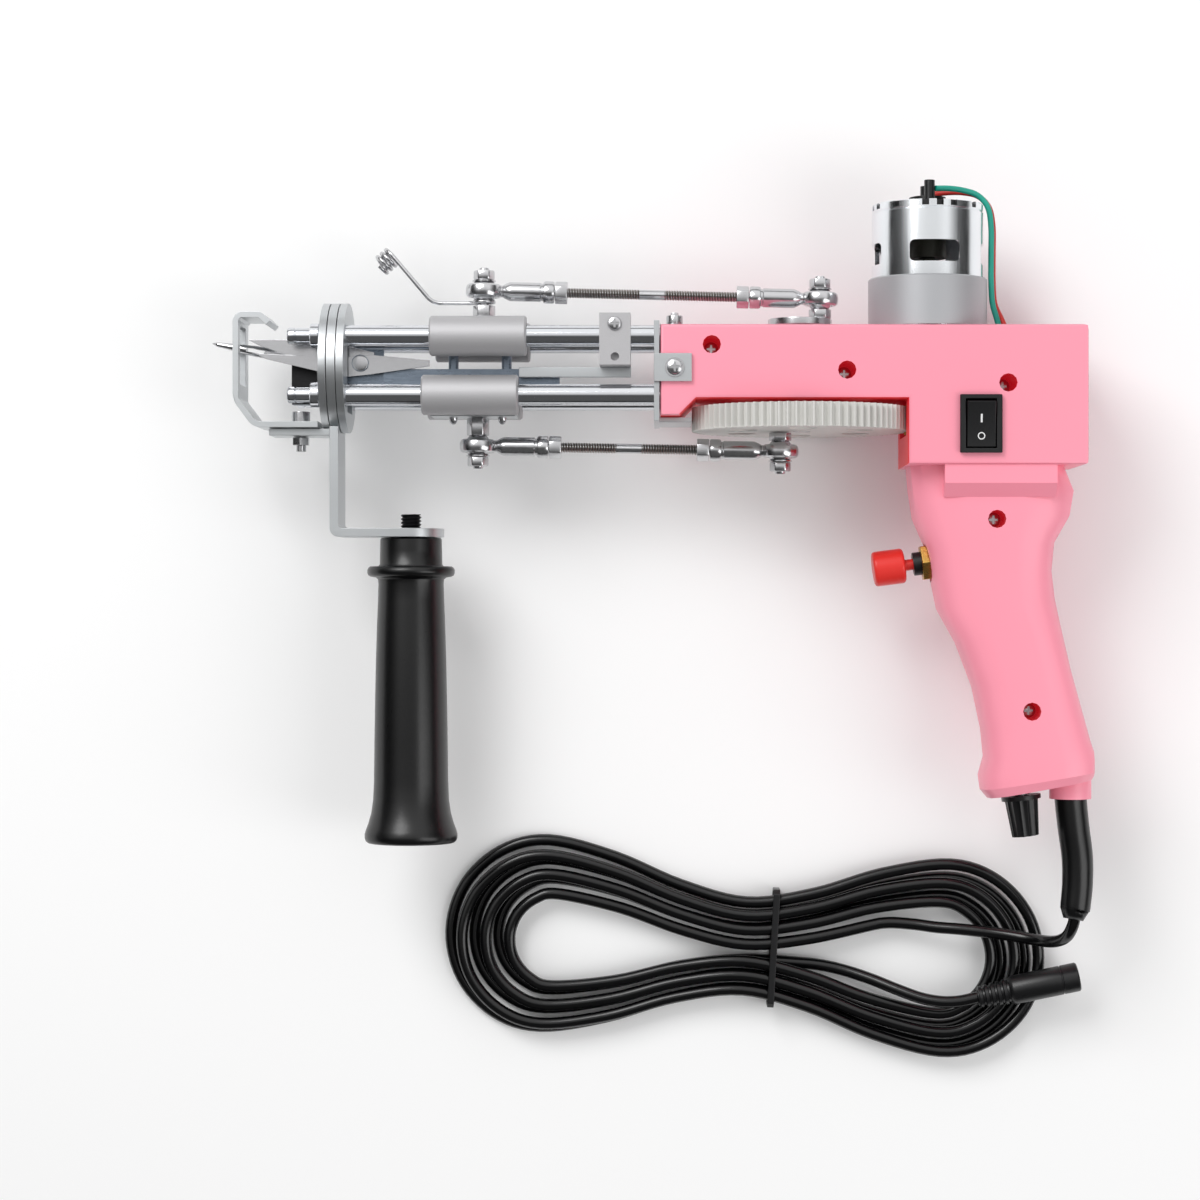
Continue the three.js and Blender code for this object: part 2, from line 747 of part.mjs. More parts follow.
// One motor lead, from its terminal round the can's side into the housing, beside the other one
function motorLead(name, side, finish) {
  const pitch = 2 * leadRadius + leadPairGap;
  const start = motorX + terminalRadius + fitGap;
  const aside = motorX + fluxRingRadius + leadRadius + leadSideGap;
  const over = leadOverShares.map(([across, up]) => {
    return [start + (aside - start) * across, motorTopY + leadRise * up];
  });
  const [, turn] = over.at(-1);
  const down = leadDownShares.map(([across, drop]) => [
    aside + (wireHoleX - pitch / 2 - aside) * across,
    turn + (housingTopY - leadEndDepth - turn) * drop,
  ]);
  const line = [...over, ...down].map(([x, y], i) => {
    const fan = leadFanShares[i];
    const spread = (terminalSpread / 2) * Math.max(0, 1 - i / 3);
    const depth = Math.max(spread, (pitch / 2) * Math.sqrt(1 - fan * fan));
    return [side < 0 ? x + pitch * fan : x, y, side * depth];
  });
  return piece(name, sweptTube(line, leadRadius, leadSides, leadSteps), finish);
}

// Guide rod from the housing's plate to the nose, with a collar and a threaded end
function guideRod(name, y, side) {
  const collarRear = noseFrontX - fitGap;
  const collarFront = collarRear - rodCollarLength;
  const end = collarRear - rodNutLength;
  const profile = [
    [0, end], [rodNutRadius, end], [rodNutRadius, collarFront], [rodCollarRadius, collarFront],
    [rodCollarRadius, collarRear], [rodRadius, collarRear], [rodRadius, rodRearX], [0, rodRearX],
  ];
  const mesh = placed(name, turned(profile, roundSides), steel, 0, y, (side * rodSpread) / 2);
  mesh.rotation.z = -Math.PI / 2;
  return mesh;
}

// Grey sleeve that slides on a guide rod
function sleeve(name, x, y, side) {
  const shape = pipe(sleeveRadius, rodRadius + runningGap, -sleeveLength / 2, sleeveLength / 2);
  const mesh = placed(name, shape, satin, x, y, (side * rodSpread) / 2);
  mesh.rotation.z = -Math.PI / 2;
  return mesh;
}

// Plate sunk between a carriage's two sleeves, where it carries the stud and the bar
function carriagePlate(name, x, y) {
  const length = carriagePlateLength / 2;
  const plate = block(
    [-length, 0, -carriagePlateHalf],
    [length, carriagePlateThickness, carriagePlateHalf],
  );
  return placed(name, plate, zinc, x, y);
}

// Bolt, ball and nut of one rod end, upright with the ball's centre at zero and its foot below
function ballBolt(name, foot, hexTop, x, y, way) {
  const edge = Math.asin(ballHalfWidth / ballRadius);
  const ring = [-1, -1 / 2, 0, 1 / 2, 1].map((share) => {
    return [ballRadius * Math.cos(share * edge), ballRadius * Math.sin(share * edge)];
  });
  const ball = turned([[0, -ballHalfWidth], ...ring, [0, ballHalfWidth]], smallSides);
  const top = ballHalfWidth + boltNutLength;
  const shank = pillar(boltRadius, -foot, top + boltTip);
  const hex = pillar(boltHexRadius, -foot, -hexTop, hexSides);
  const nut = pillar(boltHexRadius, ballHalfWidth, top, hexSides);
  const mesh = placed(name, joined(ball, shank, hex, nut), steel, x, y);
  mesh.rotation.x = way > 0 ? 0 : Math.PI;
  return mesh;
}

// Rod end: a ring round the ball, with a barrel that takes the threaded link
function rodEye() {
  const socket = ballRadius + runningGap;
  const bore = Math.sqrt(socket ** 2 - eyeHalfWidth ** 2);
  const lip = (eyeRadius + bore) / 2;
  const shoulder = eyeHalfWidth / 2;
  const mid = Math.sqrt(socket ** 2 - shoulder ** 2);
  const profile = [
    [bore, -eyeHalfWidth], [lip, -eyeHalfWidth], [eyeRadius, -shoulder], [eyeRadius, shoulder],
    [lip, eyeHalfWidth], [bore, eyeHalfWidth], [mid, shoulder], [socket, 0], [mid, -shoulder],
    [bore, -eyeHalfWidth],
  ];
  const ring = turned(profile, roundSides);
  const neckStart = (eyeRadius + socket) / 2;
  const barrel = turned([
    [0, neckStart], [eyeHalfWidth - runningGap, neckStart], [barrelRadius, barrelStart],
    [barrelRadius, barrelEnd], [eyeCollarRadius, barrelEnd], [eyeCollarRadius, eyeCollarEnd],
    [0, eyeCollarEnd],
  ], smallSides);
  const thread = pillar(linkRadius + fitGap, eyeBoreDepth, eyeCollarEnd + overrun);
  return ring.add(alongX(barrel.subtract(thread)));
}

// Connecting rod from a carriage's stud to a crank, in a group that lies along the rod
function connectingRod(prefix, front, rear, foot, way) {
  const span = new THREE.Vector2(rear[0] - front[0], rear[1] - front[1]);
  const group = new THREE.Group();
  group.position.set(front[0], front[1], 0);
  group.rotation.z = span.angle();
  const reach = span.length();
  group.add(piece(prefix + "_front_eye", rodEye(), steel));
  const rearEye = placed(prefix + "_rear_eye", rodEye(), steel, reach, 0);
  rearEye.rotation.y = Math.PI;
  group.add(rearEye);
  const first = eyeCollarEnd + fitGap;
  const last = reach - first;
  const link = joined(
    pillar(linkRadius, eyeBoreDepth + fitGap, reach - eyeBoreDepth - fitGap),
    pillar(lockNutRadius, first, first + lockNutLength, hexSides),
    pillar(lockNutRadius, last - lockNutLength, last, hexSides),
  );
  group.add(piece(prefix + "_link", alongX(link), steel));
  const pin = ballBolt(prefix + "_crank_pin", foot, ballHalfWidth + fitGap, reach, 0, way);
  pin.rotation.z = -way * span.angle();
  group.add(pin);
  return group;
}

// Round plate across the nose, with holes for the four rods and a mouth for needle and blades
function noseDisc(thickness) {
  const disc = alongX(pillar(noseRadius, 0, thickness, fineSides));
  const holes = [];
  for (const y of [upperRodY, lowerRodY]) {
    for (const side of [-1, 1]) {
      const bar = alongX(pillar(rodRadius + fitGap, -overrun, thickness + overrun, roundSides));
      holes.push(moved(bar, 0, y - noseCentreY, (side * rodSpread) / 2));
    }
  }
  const [half, high] = [noseMouthWidth / 2, noseMouthHeight / 2];
  const shift = noseMouthY - noseCentreY;
  const mouth = block([-overrun, shift - high, -half], [thickness + overrun, shift + high, half]);
  return cutBy(disc, mouth, ...holes);
}

function nosePlateRear() {
  return placed("nose_plate_rear", noseDisc(nosePlateThickness), zinc, noseRearX, noseCentreY);
}

// Front nose plate, with a tab bent forward to carry the presser foot
function nosePlateFront() {
  const bottom = -noseRadius;
  const low = bottom - tabThickness / 2;
  const tab = block([-tabLength, low, -tabWidth / 2], [nosePlateThickness, low + tabThickness, tabWidth / 2]);
  const hole = pillar(clampScrewRadius + fitGap, low - overrun, low + tabThickness + overrun);
  const holed = tab.subtract(moved(hole, clampScrewX - noseFrontX, 0, 0));
  return placed("nose_plate_front", noseDisc(nosePlateThickness).add(holed), zinc, noseFrontX, noseCentreY);
}

// Bracket clamped in the nose: a disc, a strap down and a foot for the side handle
function handleBracket() {
  const half = bracketWidth / 2;
  const foot = bracketFootY - noseCentreY;
  const round = handleX - noseMiddleX;
  const strap = block([0, foot, -half], [bracketThickness, -noseRadius + overrun, half]);
  const sole = block([0, foot, -half], [round, foot + bracketThickness, half]);
  const tip = moved(pillar(half, foot, foot + bracketThickness, roundSides), round, 0, 0);
  const hole = pillar(handleStudRadius + fitGap, foot - overrun, foot + bracketThickness + overrun);
  const shape = joined(noseDisc(bracketThickness), strap, sole, tip);
  return placed("handle_bracket", shape.subtract(moved(hole, round, 0, 0)), zinc, noseMiddleX, noseCentreY);
}

// Presser foot: one bent strip with a slot for the needle and a slot for its clamp screw
function presserFoot() {
  const outline = [
    [footFaceX + footHookLength, footTopY - footHookDrop],
    [footFaceX + footHookLength - footHookDrop, footTopY], [footFaceX + footThickness, footTopY],
    [footFaceX, footTopY - footThickness], [footFaceX, footFaceBottomY], [footKneeX, footBaseY],
    [footRearX, footBaseY],
  ];
  const sheet = strip(outline, footThickness, -footWidth / 2, footWidth / 2);
  const slot = block(
    [footFaceX - overrun, needleSlotBottom, needleSlotFar],
    [footFaceX + footThickness + overrun, needleSlotTop, needleSlotNear],
  );
  const long = footSlotLength / 2;
  const bar = clampScrewRadius + fitGap;
  const high = footBaseY + footThickness + overrun;
  const clampSlot = block([clampScrewX - long, footBaseY - overrun, -bar], [clampScrewX + long, high, bar]);
  return piece("presser_foot", cutBy(sheet, slot, clampSlot), zinc);
}

// Cap screw and nut that clamp the presser foot to its tab
function clampScrew() {
  const seat = footBaseY + footThickness + fitGap;
  const under = tabTopY - tabThickness - fitGap;
  const shape = joined(
    pillar(clampScrewRadius, under - clampNutHeight - clampTail, seat),
    pillar(clampHeadRadius, seat, seat + clampHeadHeight),
    pillar(clampHeadRadius, under - clampNutHeight, under, hexSides),
  );
  return placed("foot_clamp_screw", shape, steel, clampScrewX, 0);
}

// Rubber side handle, flared at its foot and flanged at its neck
function sideHandle() {
  const bore = handleStudRadius + fitGap;
  const flange = handleNeckLength + handleFlangeLength;
  const grip = handleGripRadiusShares.map((share, i) => {
    return [handleGripRadius * share, -handleLength * handleGripHeightShares[i]];
  });
  const profile = [
    [bore, -fitGap], [handleNeckRadius, -fitGap], [handleNeckRadius, -handleNeckLength],
    [handleFlangeRadius, -handleNeckLength], [handleFlangeRadius, -flange], ...grip,
    [handleFootRadius - handleFootEdge, handleFootLength - handleLength],
    [handleFootRadius, 2 * handleFootEdge - handleLength],
    [handleFootRadius - handleFootEdge, -handleLength], [0, -handleLength], [0, -handleStudDepth - fitGap],
    [bore, -handleStudDepth - fitGap], [bore, -fitGap],
  ];
  return placed("side_handle", turned(profile, roundSides), blackRubber, handleX, bracketFootY);
}

function handleStud() {
  const shape = pillar(handleStudRadius, -handleStudDepth, handleStudTop, roundSides);
  return placed("handle_stud", shape, blackPlastic, handleX, bracketFootY);
}

// Needle bar with the block that clamps the needle at its front end
function needleBar() {
  const plateTop = lowerPlateY + carriagePlateThickness + fitGap;
  const step = lowerSleeveX - carriagePlateLength / 2;
  const bar = slab([
    [needleBarRearX, plateTop], [needleBarRearX, needleBarTop], [needleBarFrontX, needleBarTop],
    [needleBarFrontX, needleBarBottom], [step - needleBarBottom, needleBarBottom], [step, plateTop],
  ], needleBarFar, needleBarNear);
  const rear = needleBarFrontX + needleBlockLength;
  const holder = block(
    [needleBarFrontX, needleBarBottom, needleBarFar],
    [rear, needleBlockTop, needleBlockNear],
  );
  const reach = (rear - needleTipX) / Math.cos(needleAngle) + needleRadius + overrun;
  const bore = inNeedlePlace(pillar(needleRadius + fitGap, -overrun, reach));
  return piece("needle_bar", bar.add(holder).subtract(bore), bluedSteel);
}

// Sets a shape that stands on the needle's tip along Y at the needle's place and slope
function inNeedlePlace(shape) {
  const turn = THREE.MathUtils.radToDeg(needleAngle);
  return moved(shape.rotate([0, 0, -90 - turn]), needleTipX, needleTipY, needleZ);
}

// Hollow needle with an open point and a yarn hole through both walls
function needle() {
  const profile = [
    [0, 0], [needlePointRadius, needlePointLength / 8], [needleRadius, needlePointLength],
    [needleRadius, needleLength], [needleBore, needleLength], [needleBore, needlePointLength],
    [0, needlePointLength - needleBore],
  ];
  const half = needleEyeWidth / 2;
  const eyeBottom = needlePointLength - needleEyeLength / 2;
  const hole = block(
    [-half, eyeBottom, -needleRadius - overrun],
    [half, eyeBottom + needleEyeLength, needleRadius + overrun],
  );
  return piece("needle", inNeedlePlace(turned(profile, roundSides).subtract(hole)), steel);
}

// Cutter bar hung from the upper carriage by two posts, with the blades' pivot pin at its nose
function cutterBar() {
  const middle = (cutterBarFar + cutterBarNear) / 2;
  const bar = block(
    [cutterBarFrontX + cutterNoseLength, cutterBarBottom, cutterBarFar],
    [cutterBarRearX, cutterBarTop, cutterBarNear],
  );
  const nose = block(
    [cutterBarFrontX, cutterBarBottom, cutterBarFar],
    [cutterBarFrontX + cutterNoseLength, cutterNoseTop, cutterNoseNear],
  );
  const posts = [-1, 1].map((side) => {
    const x = upperSleeveX + side * (carriagePlateLength / 2 - cutterPostInset);
    return moved(pillar(cutterPostRadius, cutterBarTop - overrun, upperPlateY - fitGap), x, 0, middle);
  });
  const top = bladeLayer(bladeCount) + bladeHeadThickness;
  const pin = alongZ(pillar(bladePinRadius, cutterBarFar, top));
  const head = alongZ(pillar(bladeHeadRadius, bladeLayer(bladeCount), top));
  const pivot = moved(joined(pin, head), bladePivotX, bladePivotY, 0);
  return piece("cutter_bar", joined(bar, nose, ...posts, pivot), bluedSteel);
}

// Height of the underside of a blade layer, counted from the bar's nose
function bladeLayer(layer) {
  return cutterNoseNear + bladeGap + layer * (bladeThickness + bladeGap);
}

// Upper scissor blade, fixed to the cutter bar
function fixedBlade() {
  const heel = bladePivotX + bladeHeelLength;
  const half = bladeRootWidth / 2;
  const shape = slab([
    [heel, bladePivotY - half], [heel, bladePivotY + half], [cutterBarFrontX, fixedBladeTipY - half / 2],
    [noseFrontX, fixedBladeTipY], [fixedBladeTipX, fixedBladeTipY],
    [fixedBladeTipX + half, fixedBladeTipY - half / 2],
    [cutterBarFrontX, bladePivotY - half],
  ], bladeLayer(0), bladeLayer(0) + bladeThickness);
  const hole = alongZ(pillar(bladePinRadius + fitGap, 0, bladeLayer(bladeCount)));
  return piece("fixed_blade", shape.subtract(moved(hole, bladePivotX, bladePivotY, 0)), steel);
}

// Lower scissor blade, a lever whose tail rides on the cam bar
function movingBlade() {
  const half = bladeRootWidth / 2;
  const tail = movingTailWidth / 2;
  const shape = slab([
    [movingTailX, bladePivotY - tail], [movingTailX, bladePivotY + tail],
    [bladePivotX + half, bladePivotY + half - tail], [cutterBarFrontX, bladePivotY + half / 2],
    [movingBladeTipX, movingBladeTipY], [movingBladeTipX + half, movingBladeTipY - half / 2],
    [cutterBarFrontX, bladePivotY - half - tail], [bladePivotX + half, bladePivotY - half],
  ], bladeLayer(1), bladeLayer(1) + bladeThickness);
  const hole = alongZ(pillar(bladePinRadius + fitGap, 0, bladeLayer(bladeCount) + overrun));
  return piece("moving_blade", shape.subtract(moved(hole, bladePivotX, bladePivotY, 0)), steel);
}

// Split block clamped on the near upper rod, with two screw holes in its face
function camBlock() {
  const half = camBlockLength / 2;
  const body = block([-half, camBlockBottom, -camBlockHalfWidth], [half, camBlockTop, camBlockHalfWidth]);
  const rodHole = alongX(pillar(rodRadius + fitGap, -camBlockLength, camBlockLength, roundSides));
  const bore = moved(rodHole, 0, upperRodY, 0);
  const holes = [camBlockTop, camBlockBottom].map((edge, i) => {
    const [low, high] = [camBlockHalfWidth - camScrewDepth, camBlockHalfWidth + overrun];
    const bar = alongZ(pillar(camScrewRadius, low, high));
    return moved(bar, 0, edge + (i ? 1 : -1) * camScrewDepth, 0);
  });
  return placed("cam_block", cutBy(body, bore, ...holes), satin, camBlockX, 0, rodSpread / 2);
}

// Flat cam bar under the block, beside the cutter bar
function camBar() {
  const rear = camBlockX + camBlockLength / 2;
  const far = rodSpread / 2 - camBlockHalfWidth - camBarWidth / 2;
  const bar = block(
    [rear - camBarLength, camBlockBottom - camBarHeight, far],
    [rear, camBlockBottom, far + camBarWidth],
  );
  return piece("cam_bar", bar, zinc);
}

// Yarn guide: a ring on the upper stud, a wire that climbs forward, and a coiled eye
function yarnGuide() {
  const base = upperRodFrontY - ballHalfWidth - fitGap - yarnWireRadius;
  const line = [];
  for (let step = 0; step <= yarnRingSteps; step += 1) {
    const angle = Math.PI - (step * yarnRingShare * 2 * Math.PI) / yarnRingSteps;
    line.push([upperStudX + yarnRingRadius * Math.cos(angle), base, yarnRingRadius * Math.sin(angle)]);
  }
  const climb = new THREE.Vector2(yarnCoilX - yarnBendX, yarnCoilY - base).normalize();
  for (let step = 0; step <= yarnBendSteps; step += 1) {
    const share = step / yarnBendSteps;
    const before = yarnBendRound * (1 - share) * (1 - share);
    const after = yarnBendRound * share * share;
    line.push([yarnBendX + before + climb.x * after, base + climb.y * after, -yarnRingRadius]);
  }
  for (let step = 0; step <= yarnCurls * yarnCurlSteps; step += 1) {
    const angle = (step * 2 * Math.PI) / yarnCurlSteps;
    const along = yarnCoilRadius * Math.sin(angle);
    const aside = (yarnCurlPitch * step) / yarnCurlSteps;
    const x = yarnCoilX + climb.x * along - climb.y * aside;
    const y = yarnCoilY + climb.y * along + climb.x * aside;
    line.push([x, y, yarnCoilRadius * (Math.cos(angle) - 1) - yarnRingRadius]);
  }
  return piece("yarn_guide", frameTube(line, yarnWireRadius, yarnSides), steel);
}

// A tube whose section is carried along the line without twisting, for wires that turn every way
function frameTube(line, radius, sides) {
  const places = line.map((point) => new THREE.Vector3(...point));
  const count = places.length;
  let side0 = new THREE.Vector3(0, 1, 0);
  const position = [];
  for (let i = 0; i < count; i += 1) {
    const ahead = places[Math.min(i + 1, count - 1)];
    const behind = places[Math.max(i - 1, 0)];
    const along = ahead.clone().sub(behind).normalize();
    side0 = side0.addScaledVector(along, -side0.dot(along)).normalize();
    const side1 = new THREE.Vector3().crossVectors(along, side0);
    for (let side = 0; side < sides; side += 1) {
      const angle = (side * 2 * Math.PI) / sides;
      const point = places[i].clone().addScaledVector(side0, radius * Math.cos(angle));
      point.addScaledVector(side1, radius * Math.sin(angle));
      position.push(point.x, point.y, point.z);
    }
  }
  return tubeOf(position, count, sides);
}

// Skin and ends of a tube whose rings are given one after another
function tubeOf(position, count, sides) {
  const index = [];
  for (let i = 0; i + 1 < count; i += 1) {
    for (let side = 0; side < sides; side += 1) {
      const next = (side + 1) % sides;
      const [a, b] = [i * sides + side, i * sides + next];
      index.push(a, b, a + sides, b, b + sides, a + sides);
    }
  }
  const last = (count - 1) * sides;
  for (let side = 1; side + 1 < sides; side += 1) {
    index.push(0, side + 1, side, last, last + side, last + side + 1);
  }
  const geometry = new THREE.BufferGeometry();
  geometry.setAttribute("position", new THREE.Float32BufferAttribute(position, 3));
  geometry.setIndex(index);
  return solidOf(geometry);
}

// A point of the grip, given as shares of the grip's length back and down from its root
function gripPlace(back, down) {
  return new THREE.Vector2(gripRootX + gripLength * back, gripRootY - gripLength * down);
}

// Rings of a grip section, squarer than an ellipse, drawn in by a wall's thickness where asked
function gripShape(inset) {
  const position = [];
  const last = gripSectionShares.length - 1;
  for (const [i, [frontX, frontY, rearX, rearY, wide]] of gripSectionShares.entries()) {
    const front = gripPlace(frontX, frontY);
    const rear = gripPlace(rearX, rearY);
    const half = gripHalfWidth * wide;
    const across = rear.clone().sub(front).normalize();
    const middle = front.clone().add(rear).divideScalar(2);
    if (i === last) middle.add(new THREE.Vector2(-across.y, across.x).multiplyScalar(inset));
    const reach = front.distanceTo(rear) / 2 - inset;
    for (let side = 0; side < gripSides; side += 1) {
      const angle = (side * 2 * Math.PI) / gripSides;
      const [c, s] = [Math.cos(angle), Math.sin(angle)];
      const along = reach * Math.sign(c) * Math.abs(c) ** gripSquareShare;
      const deep = (half - inset) * Math.sign(s) * Math.abs(s) ** gripSquareShare;
      position.push(middle.x + across.x * along, middle.y + across.y * along, deep);
    }
  }
  return tubeOf(position, gripSectionShares.length, gripSides);
}

// Block of the housing over the drive wheel, drawn in by a wall's thickness where asked
function blockShape(inset) {
  const outline = [
    [housingFrontX, housingTopY], [housingFrontX, housingChinY], [housingChinX, housingChinY],
    [housingChinX + housingBellyY - housingChinY, housingBellyY], [housingStepX, housingBellyY],
    [housingStepX, housingFootY], [housingRearX, housingFootY], [housingRearX, housingTopY],
  ];
  return roundedSlab(outline, housingHalf - inset, housingEdge, inset);
}

// Step below the block, where its face runs down on to the grip and slopes in
function gripPanel(inset) {
  const half = gripPanelHalf - inset;
  const top = housingFootY + housingWall + housingEdge;
  const front = gripPlace(gripPanelFrontShare, gripPanelFootShare);
  const rear = gripPlace(gripPanelRearShare, gripPanelFootShare);
  const low = front.y - gripPanelSlope;
  const outline = [
    [-half, top], [-half, front.y], [gripPanelSlope - half, low], [half - gripPanelSlope, low],
    [half, front.y], [half, top],
  ];
  return slab(outline, front.x + inset, rear.x - inset).rotate([0, 90, 0]);
}

// Places the shape of a round port whose axis leaves the grip at an angle
function inPort(shape, x, y, angle) {
  return moved(shape.rotate([0, 0, THREE.MathUtils.radToDeg(angle)]), x, y, 0);
}

const triggerTurn = Math.PI / 2 + triggerAngle;
const knobTurn = Math.PI + knobAngle;

// Both halves of the housing as one shell with its bosses, shelf and ports
function housingShell() {
  const stub = moved(pillar(cordStubRadius, cordStubBottom, cordStubTop, roundSides), cordStubX, 0, 0);
  const outer = joined(blockShape(0), gripShape(0), gripPanel(0), stub);
  const inner = joined(blockShape(housingWall), gripShape(gripWall), gripPanel(gripWall));
  const bosses = screwPlaces.map(([x, y]) => {
    return moved(alongZ(pillar(screwBossRadius, -housingHalf, housingHalf)), x, y, 0);
  });
  const bearingBoss = pillar(bearingRadius + bearingSeatWall, housingBellyY, housingTopY, roundSides);
  const shelfTop = motorBottomY - fitGap;
  const shelfFront = motorX - motorCanRadius;
  const shelf = block(
    [shelfFront, shelfTop - motorShelfThickness, -housingHalf],
    [motorX + motorCanRadius, shelfTop, housingHalf],
  );
  const inside = joined(bearingBoss, shelf, ...bosses).intersect(outer);
  return cutBy(outer.subtract(inner).add(inside), ...housingPorts());
}

// Everything that is cut through the housing
function housingPorts() {
  const ports = [];
  const shelfTop = motorBottomY - fitGap;
  const motorHole = pillar(motorCanRadius + fitGap, shelfTop, housingTopY + overrun, fineSides);
  const motorShaftHole = pillar(motorShelfHole, shelfTop - motorShelfThickness - overrun, housingTopY);
  ports.push(moved(motorHole, motorX, 0, 0), moved(motorShaftHole, motorX, 0, 0));
  ports.push(pillar(shaftHoleRadius, 0, housingTopY + overrun, roundSides));
  ports.push(pillar(bearingRadius + fitGap, bearingBottom - fitGap, bearingTop + fitGap, roundSides));
  const slotHigh = pinionLength / 2 + wheelSlotGap;
  const slotWide = Math.sqrt(wheelTipRadius ** 2 - housingStepX ** 2) + overrun;
  const slotFront = housingStepX - overrun;
  const slotRear = housingStepX + housingWall + overrun;
  ports.push(block([slotFront, -slotHigh, -slotWide], [slotRear, slotHigh, slotWide]));
  for (const y of [upperRodY, lowerRodY]) {
    for (const side of [-1, 1]) {
      const bar = pillar(rodRadius + fitGap, housingFrontX - overrun, rodRearX + overrun, roundSides);
      ports.push(moved(alongX(bar), 0, y, (side * rodSpread) / 2));
    }
  }
  for (const [x, y] of screwPlaces) {
    ports.push(moved(alongZ(pillar(screwRecessRadius, screwSeatZ, housingHalf + overrun)), x, y, 0));
    ports.push(moved(alongZ(pillar(screwPilotRadius, -screwPilotDepth, housingHalf)), x, y, 0));
  }
  const switchHalf = [switchBodyWidth / 2 + fitGap, switchBodyHeight / 2 + fitGap];
  ports.push(block(
    [switchX - switchHalf[0], switchY - switchHalf[1], switchFaceZ - switchBodyDepth],
    [switchX + switchHalf[0], switchY + switchHalf[1], housingHalf + overrun],
  ));
  const nutSeat = -triggerNutThickness / 2 - fitGap;
  const nutPort = pillar(triggerNutRadius + fitGap, nutSeat, triggerCapLength, roundSides);
  const barrelPort = pillar(triggerBarrelRadius + fitGap, -triggerBarrelRear, triggerCapLength, roundSides);
  ports.push(inPort(joined(nutPort, barrelPort), triggerX, triggerY, triggerTurn));
  const knobPort = pillar(potBushRadius + fitGap, -potBodyBottom - overrun, knobFlangeThickness, roundSides);
  ports.push(inPort(knobPort, knobX, knobY, knobTurn));
  const [stubLow, stubHigh] = [cordStubBottom - overrun, cordStubTop + overrun];
  const sleevePort = pillar(cordSleeveRadius + fitGap, stubLow, stubHigh, roundSides);
  ports.push(moved(sleevePort, cordStubX, 0, 0));
  const [wireLong, wireWide] = [wireHoleLength / 2, wireHoleWidth / 2];
  ports.push(block(
    [wireHoleX - wireLong, housingTopY - housingWall - overrun, -wireWide],
    [wireHoleX + wireLong, housingTopY + overrun, wireWide],
  ));
  return ports;
}

// One half of the housing, parted at the middle plane
function housingHalfPiece(name, shell, side) {
  const reach = housingHalf + overrun;
  const span = [housingFrontX - overrun, cordStubBottom - overrun, 0];
  const far = [housingRearX + overrun + overrun, housingTopY + overrun, 0];
  span[2] = side > 0 ? partingGap : -reach;
  far[2] = side > 0 ? reach : -partingGap;
  return piece(name, shell.intersect(block(span, far)), pink);
}

// Bush with a ball bearing's ring at each end, which carries the drive wheel's shaft
function wheelBearing() {
  const bore = wheelShaftRadius + fitGap;
  const profile = [
    [bore, bearingBottom], [bearingRadius, bearingBottom], [bearingRadius, bearingBottom + bearingWidth],
    [bearingWaistRadius, bearingBottom + bearingWidth], [bearingWaistRadius, bearingTop - bearingWidth],
    [bearingRadius, bearingTop - bearingWidth], [bearingRadius, bearingTop], [bore, bearingTop],
    [bore, bearingBottom],
  ];
  return piece("wheel_bearing", turned(profile, roundSides), steel);
}

// Steel plate on the housing's front, bent back over its top, its foot and both sides
function frontPlate() {
  const half = housingHalf + fitGap + sideTabThickness;
  const end = plateRearX + plateTabLength;
  const face = block([plateFrontX, frontPlateBottom, -housingHalf], [plateRearX, frontPlateTop, housingHalf]);
  const ears = block([plateFrontX, sideTabBottom, -half], [plateRearX, sideTabTop, half]);
  const tabs = [-1, 1].map((side) => {
    const near = side * (housingHalf + fitGap);
    const far = side * half;
    const low = [plateFrontX, sideTabBottom, Math.min(near, far)];
    const screw = alongZ(pillar(tabScrewRadius, 0, tabScrewHeight + sideTabThickness / 2));
    const head = side > 0 ? screw : screw.rotate([180, 0, 0]);
    const middle = side * (half - sideTabThickness / 2);
    const place = [(plateRearX + end) / 2, (sideTabBottom + sideTabTop) / 2, middle];
    return joined(block(low, [end, sideTabTop, Math.max(near, far)]), moved(head, ...place));
  });
  const topTab = block(
    [plateFrontX, housingTopY + fitGap, -topTabWidth / 2],
    [end, frontPlateTop, topTabWidth / 2],
  );
  const screwLow = frontPlateTop - sideTabThickness / 2;
  const topScrew = pillar(tabScrewRadius, screwLow, frontPlateTop + topScrewHeight);
  const footTab = block(
    [plateFrontX, frontPlateBottom, -topTabWidth],
    [end, housingChinY - fitGap, topTabWidth],
  );
  const holes = [];
  for (const y of [upperRodY, lowerRodY]) {
    for (const side of [-1, 1]) {
      const bar = pillar(rodRadius + fitGap, plateFrontX - overrun, plateRearX + overrun, roundSides);
      holes.push(moved(alongX(bar), 0, y, (side * rodSpread) / 2));
    }
  }
  const screw = moved(topScrew, (plateRearX + end) / 2, 0, 0);
  return piece("front_plate", cutBy(joined(face, ears, ...tabs, topTab, screw, footTab), ...holes), zinc);
}

// Snap-in body of the rocker switch
function switchBody() {
  const [wide, high] = [switchWidth / 2, switchHeight / 2];
  const [inWide, inHigh] = [switchBodyWidth / 2, switchBodyHeight / 2];
  const bezel = block([-wide, -high, housingHalf + fitGap], [wide, high, switchFaceZ]);
  const body = block([-inWide, -inHigh, switchFaceZ - switchBodyDepth], [inWide, inHigh, switchFaceZ]);
  const pocketWide = rockerWidth / 2 + rockerPocketGap / 2;
  const pocketHigh = rockerHalfHeight + rockerPocketGap;
  const pocket = block(
    [-pocketWide, -pocketHigh, switchFaceZ - rockerPocketDepth],
    [pocketWide, pocketHigh, switchFaceZ + overrun],
  );
  return placed("switch_body", joined(bezel, body).subtract(pocket), blackPlastic, switchX, switchY);
}

